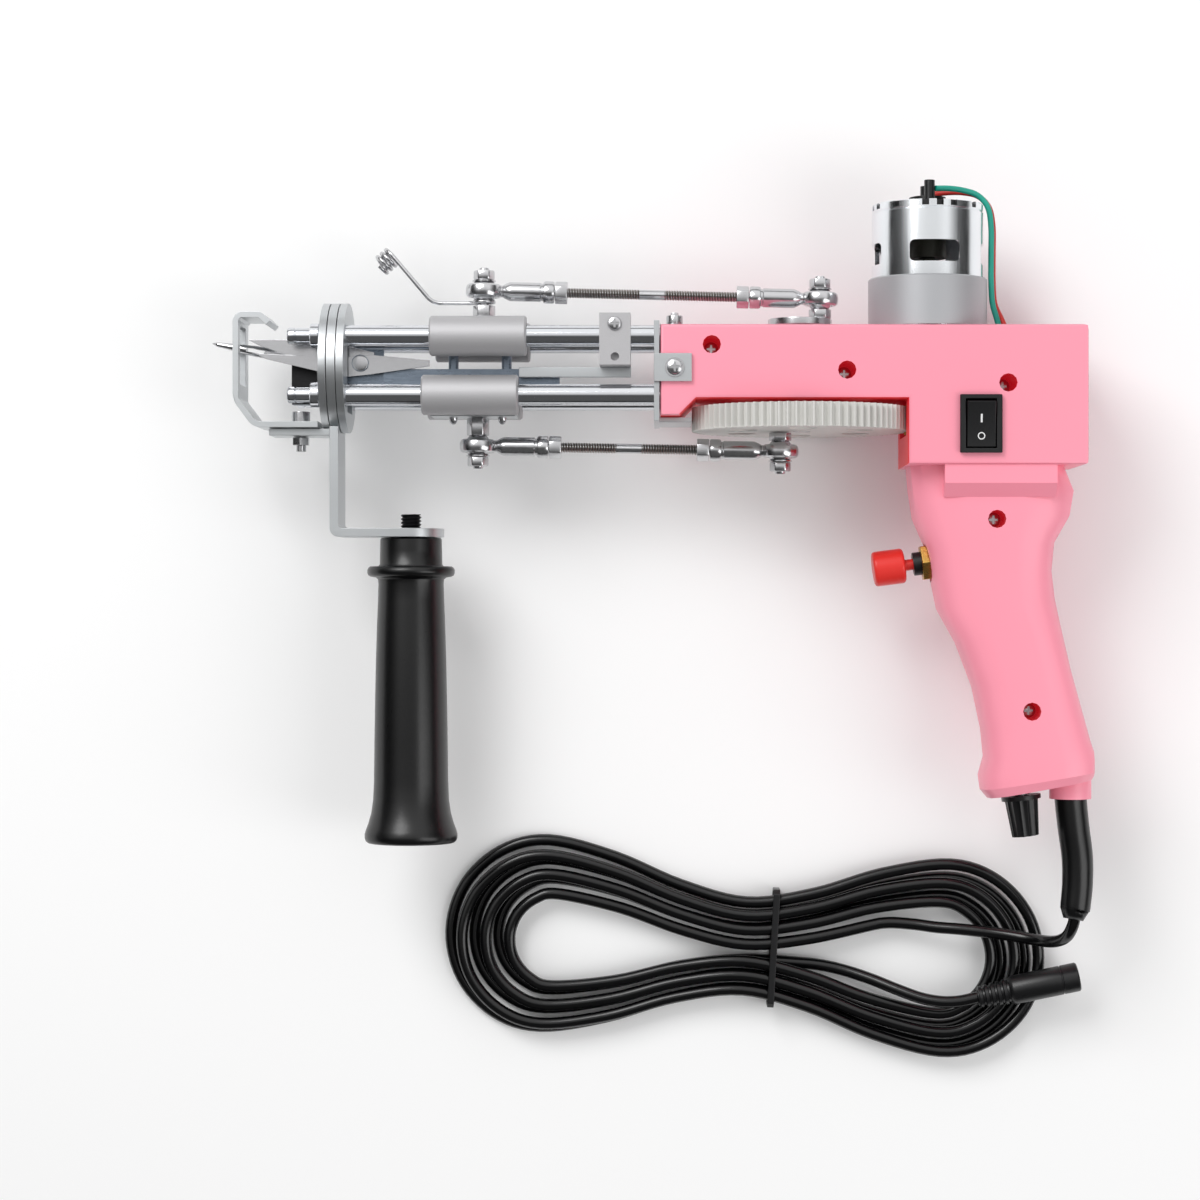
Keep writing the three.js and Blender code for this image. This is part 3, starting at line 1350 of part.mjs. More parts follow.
// Rocker, resting with its lower end pressed
function switchRocker() {
  const outline = [
    [-rockerHalfHeight, rockerEndHeight], [0, rockerMiddleHeight], [rockerHalfHeight, rockerEndHeight],
    [rockerHalfHeight, -rockerShoulder], [rockerFootHalf, -rockerFootHeight],
    [-rockerFootHalf, -rockerFootHeight], [-rockerHalfHeight, -rockerShoulder],
  ];
  const shape = slab(outline, -rockerWidth / 2, rockerWidth / 2).rotate([90, 0, 90]);
  const mesh = placed("switch_rocker", shape, blackPlastic, switchX, switchY, switchFaceZ - rockerPivotDrop);
  mesh.rotation.x = rockerTilt;
  return mesh;
}

// Brass nut, threaded barrel and button of the trigger, in a group along its axis
function triggerGroup() {
  const group = new THREE.Group();
  group.position.set(triggerX, triggerY, 0);
  group.rotation.z = triggerTurn;
  const half = triggerNutThickness / 2;
  const nut = pillar(triggerNutRadius, -half, half, hexSides);
  const nutHole = pillar(triggerBarrelRadius + fitGap, -triggerNutThickness, triggerNutThickness, roundSides);
  group.add(piece("trigger_nut", nut.subtract(nutHole), brass));
  const bore = triggerStemRadius + runningGap;
  const barrel = pipe(triggerBarrelRadius, bore, -triggerBarrelRear, triggerBarrelFront);
  group.add(piece("trigger_barrel", barrel, blackPlastic));
  const low = triggerBarrelFront + triggerGap;
  const high = low + triggerCapLength;
  const button = turned([
    [0, -triggerStemRear], [triggerStemRadius, -triggerStemRear], [triggerStemRadius, low],
    [triggerCapRadius - triggerCapEdge, low], [triggerCapRadius, low + triggerCapEdge],
    [triggerCapRadius, high - triggerCapEdge], [triggerCapRadius - triggerCapEdge, high], [0, high],
  ], roundSides);
  group.add(piece("trigger_button", button, redPlastic));
  return group;
}

// Speed control: its body inside the grip, and the fluted knob outside
function speedControl() {
  const group = new THREE.Group();
  group.position.set(knobX, knobY, 0);
  group.rotation.z = knobTurn;
  const body = joined(
    pillar(potBodyRadius, -potBodyTop, -potBodyBottom, roundSides),
    pillar(potBushRadius, -potBodyBottom, -fitGap),
    pillar(potShaftRadius, -fitGap, potShaftLength),
  );
  group.add(piece("speed_control", body, steel));
  const ring = [];
  for (const [height, radius] of [[knobFlangeThickness / 2, knobTopRadius], [knobLength, knobEndRadius]]) {
    for (let side = 0; side < 2 * knobFlutes; side += 1) {
      const angle = (side * Math.PI) / knobFlutes;
      const reach = radius - (side % 2) * knobFluteDepth;
      ring.push(reach * Math.cos(angle), height, -reach * Math.sin(angle));
    }
  }
  const flange = pillar(knobFlangeRadius, 0, knobFlangeThickness, roundSides);
  const shape = joined(tubeOf(ring, 2, 2 * knobFlutes), flange);
  const bore = pillar(potShaftRadius + runningGap, -overrun, knobBoreDepth);
  group.add(piece("speed_knob", shape.subtract(bore), blackPlastic));
  return group;
}

// Black sleeve that carries the cord out of the grip
function cordSleeve() {
  const line = cordSleeveRoute.map(([x, y, z]) => [cordStubX + x, cordStubBottom + y, z]);
  const tube = sweptTube(line, cordSleeveRadius, cordSleeveSides, cordSleeveSteps);
  return piece("cord_sleeve", tube, blackRubber);
}

// Place of one step of the hank, in the hank's own frame: x, y and height over the table
function hankPoint(step) {
  const loop = 2 * (hankCapSteps + hankRunSteps);
  const top = hankTurns * loop;
  const turned = step <= top ? step / loop : hankTurns - Math.max(0, step - top - hankRunSteps) / loop;
  const drop = THREE.MathUtils.clamp((step - top) / hankRunSteps, 0, 1);
  const length = hankInnerLength + hankLengthPitch * turned;
  const width = hankInnerWidth + hankWidthPitch * turned;
  const waist = hankInnerWaist + hankWaistPitch * turned;
  const straight = length - width;
  const at = step % loop;
  const half = loop / 2;
  const side = at < half ? 1 : -1;
  const within = at % half;
  let x = 0;
  let y = 0;
  if (within <= hankRunSteps) {
    x = straight * (1 - (2 * within) / hankRunSteps);
    const share = Math.abs(x) / straight;
    y = waist + (width - waist) * share * share * (3 - 2 * share);
  } else {
    const angle = ((within - hankRunSteps) * Math.PI) / hankCapSteps;
    x = -straight - width * Math.sin(angle);
    y = width * Math.cos(angle);
  }
  const height = hankLowZ + layerRise * (1 - drop * drop * (3 - 2 * drop));
  return [side * x, side * y, height + hankLift(side * x)];
}

// The strands are lifted a little where the tie passes under them
function hankLift(x) {
  const share = Math.min(1, Math.abs(x - tieX) / tieReach);
  return (tieLift * (1 + Math.cos(Math.PI * share))) / 2;
}

// Sets a point of the hank's frame at its place beside the machine
function onTable([x, y, height]) {
  const [c, s] = [Math.cos(hankTilt), Math.sin(hankTilt)];
  return [hankX + x * c - y * s, hankY + x * s + y * c, floorZ + height];
}

const hankLine = [];
for (let step = hankFirstStep; step <= hankLastStep; step += 1) hankLine.push(hankPoint(step));
hankLine.push(...tailRoute, tailEnd);

// Least distance between stretches of one cord that aren't neighbours, less the cord's own thickness
function leastGap(line) {
  const dense = [];
  for (let i = 0; i + 1 < line.length; i += 1) {
    for (let part = 0; part < gapSamples; part += 1) {
      const ahead = line[i + 1];
      dense.push(line[i].map((value, axis) => value + ((ahead[axis] - value) * part) / gapSamples));
    }
  }
  const far = 4 * cordRadius;
  const run = [0];
  for (let i = 1; i < dense.length; i += 1) {
    run.push(run[i - 1] + Math.hypot(...dense[i].map((value, axis) => value - dense[i - 1][axis])));
  }
  let least = Infinity;
  let where = [];
  for (let i = 0; i < dense.length; i += 1) {
    for (let j = i + 1; j < dense.length; j += 1) {
      if (run[j] - run[i] < 3 * far) continue;
      const gap = Math.hypot(...dense[i].map((v, a) => v - dense[j][a]));
      if (gap < least) {
        least = gap;
        where = [i, j].map((k) => dense[k].map((v) => v.toFixed(1)).join(" "));
      }
    }
  }
  return [least - 2 * cordRadius, where, run[run.length - 1]];
}

function cordHank() {
  return piece("cord_hank", frameTube(hankLine.map(onTable), cordRadius, hankSides), blackPlastic);
}

// Free stretch from the sleeve's end down to the hank's first strand, whichever way the two are set
function cordLead() {
  const [x, y, z] = cordSleeveRoute.at(-1);
  const start = new THREE.Vector3(cordStubX + x, cordStubBottom + y, z);
  const [first, next] = [0, 1].map((step) => new THREE.Vector3(...onTable(hankLine[step])));
  const end = first.clone().addScaledVector(first.clone().sub(next).normalize(), leadCordGap);
  const drop = end.z - start.z;
  const line = leadCordRoute.map(([aside, down, share]) => (
    new THREE.Vector3(aside, down, drop * share).add(start)
  ));
  const miss = end.sub(line.at(-1));
  const places = line.map((place, i) => {
    const share = THREE.MathUtils.smoothstep(i, 1, line.length - 2);
    return place.addScaledVector(miss, share).toArray();
  });
  return piece("cord_lead", sweptTube(places, cordRadius, cordSides, leadCordSteps), blackPlastic);
}

// Band round both layers of the hank at its waist
function cordTie() {
  const crossed = [];
  for (let i = 0; i + 1 < hankLine.length; i += 1) {
    const [from, to] = [hankLine[i], hankLine[i + 1]];
    for (const x of [tieX - tieWidth / 2, tieX + tieWidth / 2]) {
      if ((from[0] - x) * (to[0] - x) > 0) continue;
      const share = (x - from[0]) / (to[0] - from[0]);
      crossed.push([1, 2].map((axis) => from[axis] + (to[axis] - from[axis]) * share));
    }
  }
  const clear = cordRadius + tieGap;
  const across = crossed.map(([y]) => y);
  const up = crossed.map(([, z]) => z);
  const [left, right] = [Math.min(...across) - clear, Math.max(...across) + clear];
  const [low, high] = [Math.min(...up) - clear, Math.max(...up) + clear];
  const outline = (grow, corner) => [
    [left - grow + corner, low - grow], [right + grow - corner, low - grow],
    [right + grow, low - grow + corner],
    [right + grow, high + grow - corner], [right + grow - corner, high + grow],
    [left - grow + corner, high + grow],
    [left - grow, high + grow - corner], [left - grow, low - grow + corner],
  ];
  const outer = slab(outline(tieThickness, 2 * tieThickness), -tieWidth / 2, tieWidth / 2);
  const band = outer.subtract(slab(outline(0, tieThickness), -tieWidth, tieWidth));
  const shape = band.rotate([90, 0, 90 + THREE.MathUtils.radToDeg(hankTilt)]);
  const [x, y, z] = onTable([tieX, 0, 0]);
  return piece("cord_tie", moved(shape, x, y, z), blackPlastic);
}

// Barrel plug on the cord's end, with a ribbed boot and a blind socket
function cordPlug() {
  const profile = [[0, fitGap], [plugBootRadius, fitGap]];
  const rib = plugBootLength / (2 * plugRibs);
  for (let step = 1; step < 2 * plugRibs; step += 1) {
    const low = fitGap + rib * step;
    const [before, after] = step % 2 ? [0, plugRibDepth] : [plugRibDepth, 0];
    profile.push([plugBootRadius - before, low], [plugBootRadius - after, low]);
  }
  profile.push(
    [plugBootRadius, plugBootLength], [plugRadius, plugBootLength + plugRibDepth], [plugRadius, plugLength],
    [plugBore, plugLength], [plugBore, plugLength - plugBoreDepth], [0, plugLength - plugBoreDepth],
  );
  const shape = alongX(turned(profile, roundSides));
  const turn = THREE.MathUtils.radToDeg(plugAngle + hankTilt);
  return piece("cord_plug", moved(shape.rotate([0, 0, turn]), ...onTable(tailEnd)), blackPlastic);
}

// Adds pieces to a new named group
function groupOf(name, ...pieces) {
  const group = new THREE.Group();
  group.name = name;
  group.add(...pieces);
  return group;
}

const shell = housingShell();
const upperPlateTop = upperPlateY + carriagePlateThickness + fitGap;
const lowerPlateFoot = lowerPlateY - fitGap;

const frame = groupOf("frame",
  housingHalfPiece("housing_near", shell, 1), housingHalfPiece("housing_far", shell, -1), frontPlate(),
  guideRod("rod_upper_near", upperRodY, 1), guideRod("rod_upper_far", upperRodY, -1),
  guideRod("rod_lower_near", lowerRodY, 1), guideRod("rod_lower_far", lowerRodY, -1),
  nosePlateFront(), handleBracket(), nosePlateRear(), clampScrew(), sideHandle(), handleStud(),
  motorCan(), fluxRing(), motorEndCap(), motorLead("lead_red", -1, redPlastic),
  motorLead("lead_green", 1, greenPlastic), wheelBearing(), switchBody(), camBlock(), camBar(),
  cordSleeve(), cordLead(), cordHank(), cordPlug(), cordTie(),
);
const wheel = groupOf("wheel", driveWheel(), crankShaft());
const rotor = groupOf("rotor", motorArmature(), motorPinion());
const needleCarriage = groupOf("needle_carriage",
  sleeve("needle_sleeve_near", lowerSleeveX, lowerRodY, 1),
  sleeve("needle_sleeve_far", lowerSleeveX, lowerRodY, -1),
  carriagePlate("needle_carriage_plate", lowerSleeveX + carriagePlateShift, lowerPlateY),
  ballBolt("needle_stud", -lowerRodFrontY + lowerPlateFoot, studHexTop, lowerStudX, lowerRodFrontY, -1),
  needleBar(), needle(),
);
const cutterCarriage = groupOf("cutter_carriage",
  sleeve("cutter_sleeve_near", upperSleeveX, upperRodY, 1),
  sleeve("cutter_sleeve_far", upperSleeveX, upperRodY, -1),
  carriagePlate("cutter_carriage_plate", upperSleeveX, upperPlateY),
  ballBolt("cutter_stud", upperRodFrontY - upperPlateTop, studHexTop, upperStudX, upperRodFrontY, 1),
  cutterBar(), fixedBlade(), yarnGuide(),
);
const needleRod = connectingRod(
  "needle_rod", [lowerStudX, lowerRodFrontY], [-crankRadius, lowerRodRearY],
  wheelBottom - fitGap - lowerRodRearY, -1,
);
const cutterRod = connectingRod(
  "cutter_rod", [upperStudX, upperRodFrontY], [crankRadius, upperRodRearY],
  upperRodRearY - crankDiscTop - fitGap, 1,
);
const machine = groupOf("machine",
  frame, wheel, rotor, needleCarriage, cutterCarriage, needleRod, cutterRod, movingBlade(),
  presserFoot(), switchRocker(), triggerGroup(), speedControl(),
);

// The whole is shifted so that its origin is under the middle of everything but the cord, on the table
const group = groupOf("tufting_machine", machine);
group.updateMatrixWorld(true);
const reach = new THREE.Box3();
group.traverse((item) => {
  if (item.isMesh && !/^cord_(lead|hank|plug|tie)$/.test(item.name)) reach.expandByObject(item, true);
});
const centre = reach.getCenter(new THREE.Vector3());
machine.position.set(-centre.x, -centre.y, -reach.min.z);

const [gap, where, length] = leastGap(hankLine);
console.log("least gap of the cord to itself", gap.toFixed(2), where.join(" | "), "run", length.toFixed(0));
const size = reach.getSize(new THREE.Vector3());
console.log("machine shift", machine.position.toArray().map((value) => value.toFixed(3)).join(" "));
console.log("machine size", size.toArray().map((value) => value.toFixed(1)).join(" "));

export default group;
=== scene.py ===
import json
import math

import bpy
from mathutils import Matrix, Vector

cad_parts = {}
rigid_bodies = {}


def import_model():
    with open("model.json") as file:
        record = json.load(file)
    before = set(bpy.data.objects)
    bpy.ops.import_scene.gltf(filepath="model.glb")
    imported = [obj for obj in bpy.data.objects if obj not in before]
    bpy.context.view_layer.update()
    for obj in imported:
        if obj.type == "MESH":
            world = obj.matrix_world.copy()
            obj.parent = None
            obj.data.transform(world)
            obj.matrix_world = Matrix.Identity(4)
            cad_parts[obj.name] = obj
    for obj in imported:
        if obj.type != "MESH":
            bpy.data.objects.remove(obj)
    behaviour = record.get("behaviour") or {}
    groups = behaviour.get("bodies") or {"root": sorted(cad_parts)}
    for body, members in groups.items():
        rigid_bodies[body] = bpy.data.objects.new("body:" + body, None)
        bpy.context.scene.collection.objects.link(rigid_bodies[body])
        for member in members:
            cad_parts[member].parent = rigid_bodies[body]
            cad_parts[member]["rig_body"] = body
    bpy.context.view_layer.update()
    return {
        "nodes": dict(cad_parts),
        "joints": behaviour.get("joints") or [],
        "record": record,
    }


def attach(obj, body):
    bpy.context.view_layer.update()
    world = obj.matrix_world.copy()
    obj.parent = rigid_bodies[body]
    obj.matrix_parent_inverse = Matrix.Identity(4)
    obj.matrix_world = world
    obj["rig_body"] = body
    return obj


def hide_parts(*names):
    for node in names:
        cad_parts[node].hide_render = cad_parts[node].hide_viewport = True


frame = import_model()

# %% [markdown]
# # A handheld tufting machine
# The real machine is a pink pistol grip with a small motor on top. The motor turns a big toothed wheel,
# and the wheel strokes a hollow needle and a pair of scissor blades along four steel rods. The packed
# model is the fixed frame, and this notebook gives it its looks. It starts with the units and the places
# that everything else counts from: millimetres from the drive wheel's centre.

MM = 0.001
nodes = frame["nodes"]
joints = {joint["name"]: joint for joint in frame["joints"]}
X, Y, Z = Vector((1, 0, 0)), Vector((0, 1, 0)), Vector((0, 0, 1))
wheel_centre = Vector(joints["wheel_turn"]["pos_m"])


def spot(x, y, z=0.0):
    """A place in millimetres from the drive wheel's centre, as a point of the row frame."""
    return wheel_centre + Vector((x, y, z)) * MM


print("wheel centre", [round(value, 4) for value in wheel_centre])

# %% [markdown]
# The photograph looks straight down on the machine as it lies on a table. The nose plates show a little of
# their rear faces and the gear a little of its lower face, which puts the camera about 1.1 m above the
# machine and a little towards the housing. A small sideways shift of the lens takes in the whole machine
# from there. No rotation is needed, because a new camera already looks down with +Y at the top.

# %% Camera
frame_width = 0.4536
camera_height = 1.1
frame_middle = spot(-75.6, -68.0)
camera_place = spot(-50.0, -68.0)
bpy.ops.object.camera_add(location=camera_place + Z * camera_height, rotation=(0, 0, 0))
camera = bpy.context.object
camera.data.lens = camera.data.sensor_width * camera_height / frame_width
camera.data.shift_x = (frame_middle - camera_place).x / frame_width
bpy.context.scene.camera = camera
print("lens", round(camera.data.lens, 1), "shift", round(camera.data.shift_x, 3))

# %% [markdown]
# The cord is one smooth line: it leaves the sleeve, comes down to the table, winds out and in again as a
# hank of two layers, and rises to its plug. The hank's points come from the same formula as the solid's,
# so that what is seen lies where the solid lies. Each turn is a little longer and wider than the one inside
# it, and its long sides are drawn in where the tie holds them.

# %% Cord route
cord_diameter = 4.6
table_drop = -wheel_centre.z / MM
lead_route = [
    (103.99, -184.9, 0), (103.79, -188.6, -0.4), (103.06, -192.05, -1.8), (101.76, -195.48, -4.9),
    (99.75, -197.68, -9.4), (96.93, -198.84, -14.4), (93.17, -198.94, -19), (88.35, -198.46, -22.6),
    (82.36, -197.61, -25), (75.86, -196.85, -26.7), (69.34, -196.17, -27.8), (61.78, -195.57, -29.1),
    (54.16, -195.13, -30.7), (46.46, -194.23, -32.3), (38.65, -193.66, -33.2), (33.62, -193.81, -33.4),
]
tail_route = [
    (22, -4.7, 3.9), (31, -5.2, 4.1), (40, -6.6, 5.4), (50, -9, 8.2), (60, -12, 11.6), (69, -14.4, 14.2),
    (77, -15.2, 15.8), (84, -14.5, 16.4), (90.6, -12.7, 16.4),
]
hank_centre = (-20.2, -203.7)
hank_tilt = math.radians(-3.3)
hank_turns, half_steps, hank_steps = 3, 6, 135
low_layer, layer_rise = 2.4, 5.2
tie_x, tie_lift, tie_reach = 11.3, 2.4, 30


def eased(share):
    """A share from 0 to 1 that starts and ends softly."""
    return share * share * (3 - 2 * share)


def hank_point(step):
    """One step of the hank in its own frame: x, y and height over the table, in millimetres."""
    loop = 4 * half_steps
    top = hank_turns * loop
    wound = step / loop if step <= top else hank_turns - max(0, step - top - half_steps) / loop
    drop = min(1, max(0, (step - top) / half_steps))
    length, width, waist = 88 + 9.3 * wound, 15.2 + 7.4 * wound, 1.2 + 5.6 * wound
    straight = length - width
    side = 1 if step % loop < loop / 2 else -1
    within = step % (loop // 2)
    if within <= half_steps:
        x = straight * (1 - 2 * within / half_steps)
        y = waist + (width - waist) * eased(abs(x) / straight)
    else:
        angle = (within - half_steps) * math.pi / half_steps
        x, y = -straight - width * math.sin(angle), width * math.cos(angle)
    from_tie = min(1, abs(side * x - tie_x) / tie_reach)
    lift = tie_lift * (1 + math.cos(math.pi * from_tie)) / 2
    return side * x, side * y, low_layer + layer_rise * (1 - eased(drop)) + lift


def beside_machine(point):
    """A point of the hank's frame as a place beside the machine."""
    x, y, height = point
    c, s = math.cos(hank_tilt), math.sin(hank_tilt)
    return hank_centre[0] + x * c - y * s, hank_centre[1] + x * s + y * c, table_drop + height


hank_route = [beside_machine(hank_point(step)) for step in range(1, hank_steps + 1)]
plug_route = [beside_machine(point) for point in tail_route]
cord_route = [*lead_route, *hank_route, *plug_route]
print("cord route of", len(cord_route), "places")

# %% [markdown]
# A curve with a round bevel is the simplest true cord, because it stays round in every bend. Its thickness
# goes on the points, in millimetres, because the box round a curve grows by its points' radius. The leads,
# the yarn guide and the boot are made in the same way.

# %% Cord
def smooth_line(places, parts=6):
    """Points of a smooth curve through the places."""
    spots = [spot(*place) for place in places]
    ends = [spots[0] * 2 - spots[1], *spots, spots[-1] * 2 - spots[-2]]
    line = []
    for a, b, c, d in zip(ends, ends[1:], ends[2:], ends[3:]):
        for part in range(parts):
            t = part / parts
            line.append((2 * b + (c - a) * t + (2 * a - 5 * b + 4 * c - d) * t * t
                         + (3 * b - a - 3 * c + d) * t ** 3) / 2)
    return [*line, spots[-1]]


def round_wire(name, line, diameter, thickness=None, sides=6):
    """A curve object of one open spline with a round section."""
    data = bpy.data.curves.new(name, "CURVE")
    data.dimensions = "3D"
    spline = data.splines.new("POLY")
    spline.points.add(len(line) - 1)
    for i, place in enumerate(line):
        spline.points[i].co = (*place, 1)
        spline.points[i].radius = (thickness[i] if thickness else 1) * MM
    data.bevel_depth = diameter / 2
    data.bevel_resolution = sides
    data.use_fill_caps = True
    spline.use_smooth = True
    wire = bpy.data.objects.new(name, data)
    bpy.context.scene.collection.objects.link(wire)
    return wire


cord_line = smooth_line(cord_route)
cord = round_wire("cord", cord_line, cord_diameter)
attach(cord, "frame")
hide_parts("cord_lead", "cord_hank")

# %% [markdown]
# The studio is a white table under a soft white sky. The table is a plain diffuse surface, so it keeps the
# machine's shadow and mirrors nothing.

# %% Table
bpy.ops.object.select_all(action="DESELECT")
bpy.ops.mesh.primitive_plane_add(size=6, location=(0, 0, 0))
table = bpy.context.object
table.name = "table"
white = bpy.data.materials.new("table_white")
white.use_nodes = True
shader = white.node_tree.nodes["Principled BSDF"]
shader.inputs["Base Color"].default_value = (0.96, 0.96, 0.96, 1)
shader.inputs["Roughness"].default_value = 0.9
shader.inputs["Specular IOR Level"].default_value = 0.1
table.data.materials.append(white)
print("table", round(table.dimensions.x, 1), "m wide")

# %% [markdown]
# The sky is put together from nodes, and each kind of ray gets its own part of it. Matte surfaces see an
# even white, so that colours come out as written. Polished steel is drawn by what it mirrors, so mirrored
# rays see white boards with dark gaps. The camera sees plain white.

# %% Sky parts
scene = bpy.context.scene
scene.view_settings.view_transform = "Standard"
world = bpy.data.worlds.new("studio_sky")
scene.world = world
world.use_nodes = True
links, sky = world.node_tree.links, world.node_tree.nodes
sky.clear()
place = sky.new("ShaderNodeTexCoord")
split = sky.new("ShaderNodeSeparateXYZ")
path = sky.new("ShaderNodeLightPath")
links.new(place.outputs["Generated"], split.inputs[0])


def sky_ramp(source, *stops):
    """A ramp of greys over one direction of the sky."""
    ramp = sky.new("ShaderNodeValToRGB")
    for position, grey in stops[1:-1]:
        ramp.color_ramp.elements.new(position)
    for stop, (position, grey) in zip(ramp.color_ramp.elements, stops):
        stop.position, stop.color = position, (grey, grey, grey, 1)
    links.new(source, ramp.inputs["Fac"])
    return ramp.outputs["Color"]


def sky_light(strength, colour=None):
    """One part of the sky, plain white unless a colour is given."""
    light = sky.new("ShaderNodeBackground")
    light.inputs["Strength"].default_value = strength
    light.inputs["Color"].default_value = (1, 1, 1, 1)
    if colour:
        links.new(colour, light.inputs["Color"])
    return light.outputs[0]


def sky_choice(ray, otherwise, chosen):
    """Gives one kind of ray its own part of the sky."""
    choice = sky.new("ShaderNodeMixShader")
    links.new(path.outputs[ray], choice.inputs["Fac"])
    links.new(otherwise, choice.inputs[1])
    links.new(chosen, choice.inputs[2])
    return choice.outputs[0]


def sky_share(axis):
    """How far a direction lies along one axis, from 0 on its far side to 1."""
    share = sky.new("ShaderNodeMath")
    share.operation = "MULTIPLY_ADD"
    share.inputs[1].default_value = share.inputs[2].default_value = 0.5
    links.new(split.outputs[axis], share.inputs[0])
    return share.outputs[0]


def both_skies(one, other):
    """Two ramps multiplied."""
    both = sky.new("ShaderNodeMix")
    both.data_type, both.blend_type = "RGBA", "MULTIPLY"
    both.inputs["Factor"].default_value = 1
    links.new(one, both.inputs["A"])
    links.new(other, both.inputs["B"])
    return both.outputs["Result"]


print("sky parts ready")

# %% [markdown]
# The boards leave three gaps: round the rim, on the side away from the motor, and at both ends of the
# machine. They draw the dark line beside the bright one on every rod. Two soft lamps give the shadow its
# direction.

# %% Sky and lamps
rim = sky_ramp(split.outputs["Z"],
               (0.0, 0.1), (0.12, 0.2), (0.3, 1.0), (0.8, 1.0), (0.95, 0.85), (1.0, 0.85))
motor_side = sky_ramp(sky_share("Y"),
                      (0.0, 0.08), (0.41, 0.1), (0.48, 0.32), (0.54, 0.85), (0.7, 1.0), (1.0, 1.0))
ends = sky_ramp(sky_share("X"),
                (0.0, 0.06), (0.06, 0.08), (0.2, 0.95), (0.8, 1.0), (0.94, 0.08), (1.0, 0.06))
boards = both_skies(both_skies(rim, motor_side), ends)
even = sky_light(0.66, sky_ramp(split.outputs["Z"], (0.05, 0.3), (0.7, 1.0)))
mirrored = sky_light(1.15, boards)
lit = sky_choice("Is Glossy Ray", even, mirrored)
seen = sky_choice("Is Camera Ray", lit, sky_light(1))
out = sky.new("ShaderNodeOutputWorld")
links.new(sky_choice("Is Transmission Ray", seen, sky_light(1)), out.inputs["Surface"])


def lamp(name, where, size, power):
    """A soft rectangular lamp that faces the middle of the table."""
    bpy.ops.object.light_add(type="AREA", location=where)
    light = bpy.context.object
    light.name = name
    light.data.shape = "RECTANGLE"
    light.data.size, light.data.size_y = size
    light.data.energy = power
    light.rotation_mode = "QUATERNION"
    light.rotation_quaternion = Vector(where).to_track_quat("Z", "Y")


lamp("key", (-0.55, 0.75, 1.0), (0.7, 0.7), 9)
lamp("fill", (0.9, -0.3, 0.9), (0.5, 1.0), 4)
print("sky with", len(sky), "nodes")

# %% [markdown]
# Small shader groups do the work that many finishes share. Inside, each of them takes a noise on Object
# coordinates, and varies a value with it or raises a bump from it. These are the moves for that.

# %% Parts of an effect
def effect(name, inputs, outputs):
    """A new shader group with its inputs (name, socket kind, value) and outputs (name, socket kind)."""
    group = bpy.data.node_groups.new(name, "ShaderNodeTree")
    for title, kind, value in inputs:
        group.interface.new_socket(title, in_out="INPUT", socket_type=kind).default_value = value
    for title, kind in outputs:
        group.interface.new_socket(title, in_out="OUTPUT", socket_type=kind)
    return group, group.nodes.new("NodeGroupInput"), group.nodes.new("NodeGroupOutput")


def noise_in(group, given, size, detail, stretch=None):
    """A noise on Object coordinates inside a group, scaled by one of the group's inputs."""
    at = group.nodes.new("ShaderNodeTexCoord")
    noise = group.nodes.new("ShaderNodeTexNoise")
    noise.inputs["Detail"].default_value = detail
    group.links.new(given.outputs[size], noise.inputs["Scale"])
    place = at.outputs["Object"]
    if stretch:
        scale = group.nodes.new("ShaderNodeVectorMath")
        scale.operation = "MULTIPLY"
        group.links.new(place, scale.inputs[0])
        group.links.new(given.outputs[stretch], scale.inputs[1])
        place = scale.outputs[0]
    group.links.new(place, noise.inputs["Vector"])
    return noise.outputs["Fac"]


def spread_in(group, given, source, middle, spread):
    """A value that varies round a middle by a spread, both inputs of the group."""
    centred = group.nodes.new("ShaderNodeMath")
    centred.operation = "SUBTRACT"
    centred.inputs[1].default_value = 0.5
    scaled = group.nodes.new("ShaderNodeMath")
    scaled.operation = "MULTIPLY_ADD"
    group.links.new(source, centred.inputs[0])
    group.links.new(centred.outputs[0], scaled.inputs[0])
    group.links.new(given.outputs[spread], scaled.inputs[1])
    if isinstance(middle, str):
        group.links.new(given.outputs[middle], scaled.inputs[2])
    else:
        scaled.inputs[2].default_value = middle
    return scaled.outputs[0]


def bump_in(group, given, source, depth):
    """A bump normal from a height inside a group."""
    bump = group.nodes.new("ShaderNodeBump")
    bump.inputs["Distance"].default_value = 0.0002
    group.links.new(source, bump.inputs["Height"])
    group.links.new(given.outputs[depth], bump.inputs["Strength"])
    return bump.outputs["Normal"]


print("effect parts ready")

# %% [markdown]
# There are three effects. Mottle varies a colour softly, grain is the fine skin of moulded or blasted
# parts, and strokes are the fine lines of drawn or brushed metal. Each is built once, and every material
# gives it its own values.

# %% Shared surface effects
COLOUR, VALUE, VECTOR = "NodeSocketColor", "NodeSocketFloat", "NodeSocketVector"

mottle, given, put = effect(
    "mottle", [("Colour", COLOUR, (1, 1, 1, 1)), ("Size", VALUE, 40), ("Amount", VALUE, 0.1)],
    [("Colour", COLOUR)])
tone = mottle.nodes.new("ShaderNodeHueSaturation")
mottle.links.new(given.outputs["Colour"], tone.inputs["Color"])
cloud = noise_in(mottle, given, "Size", 3)
mottle.links.new(spread_in(mottle, given, cloud, 1.0, "Amount"), tone.inputs["Value"])
mottle.links.new(tone.outputs[0], put.inputs["Colour"])

grain, given, put = effect(
    "grain", [("Size", VALUE, 900), ("Depth", VALUE, 0.2), ("Roughness", VALUE, 0.4), ("Spread", VALUE, 0.1)],
    [("Roughness", VALUE), ("Normal", VECTOR)])
speck = noise_in(grain, given, "Size", 4)
grain.links.new(spread_in(grain, given, speck, "Roughness", "Spread"), put.inputs["Roughness"])
grain.links.new(bump_in(grain, given, speck, "Depth"), put.inputs["Normal"])

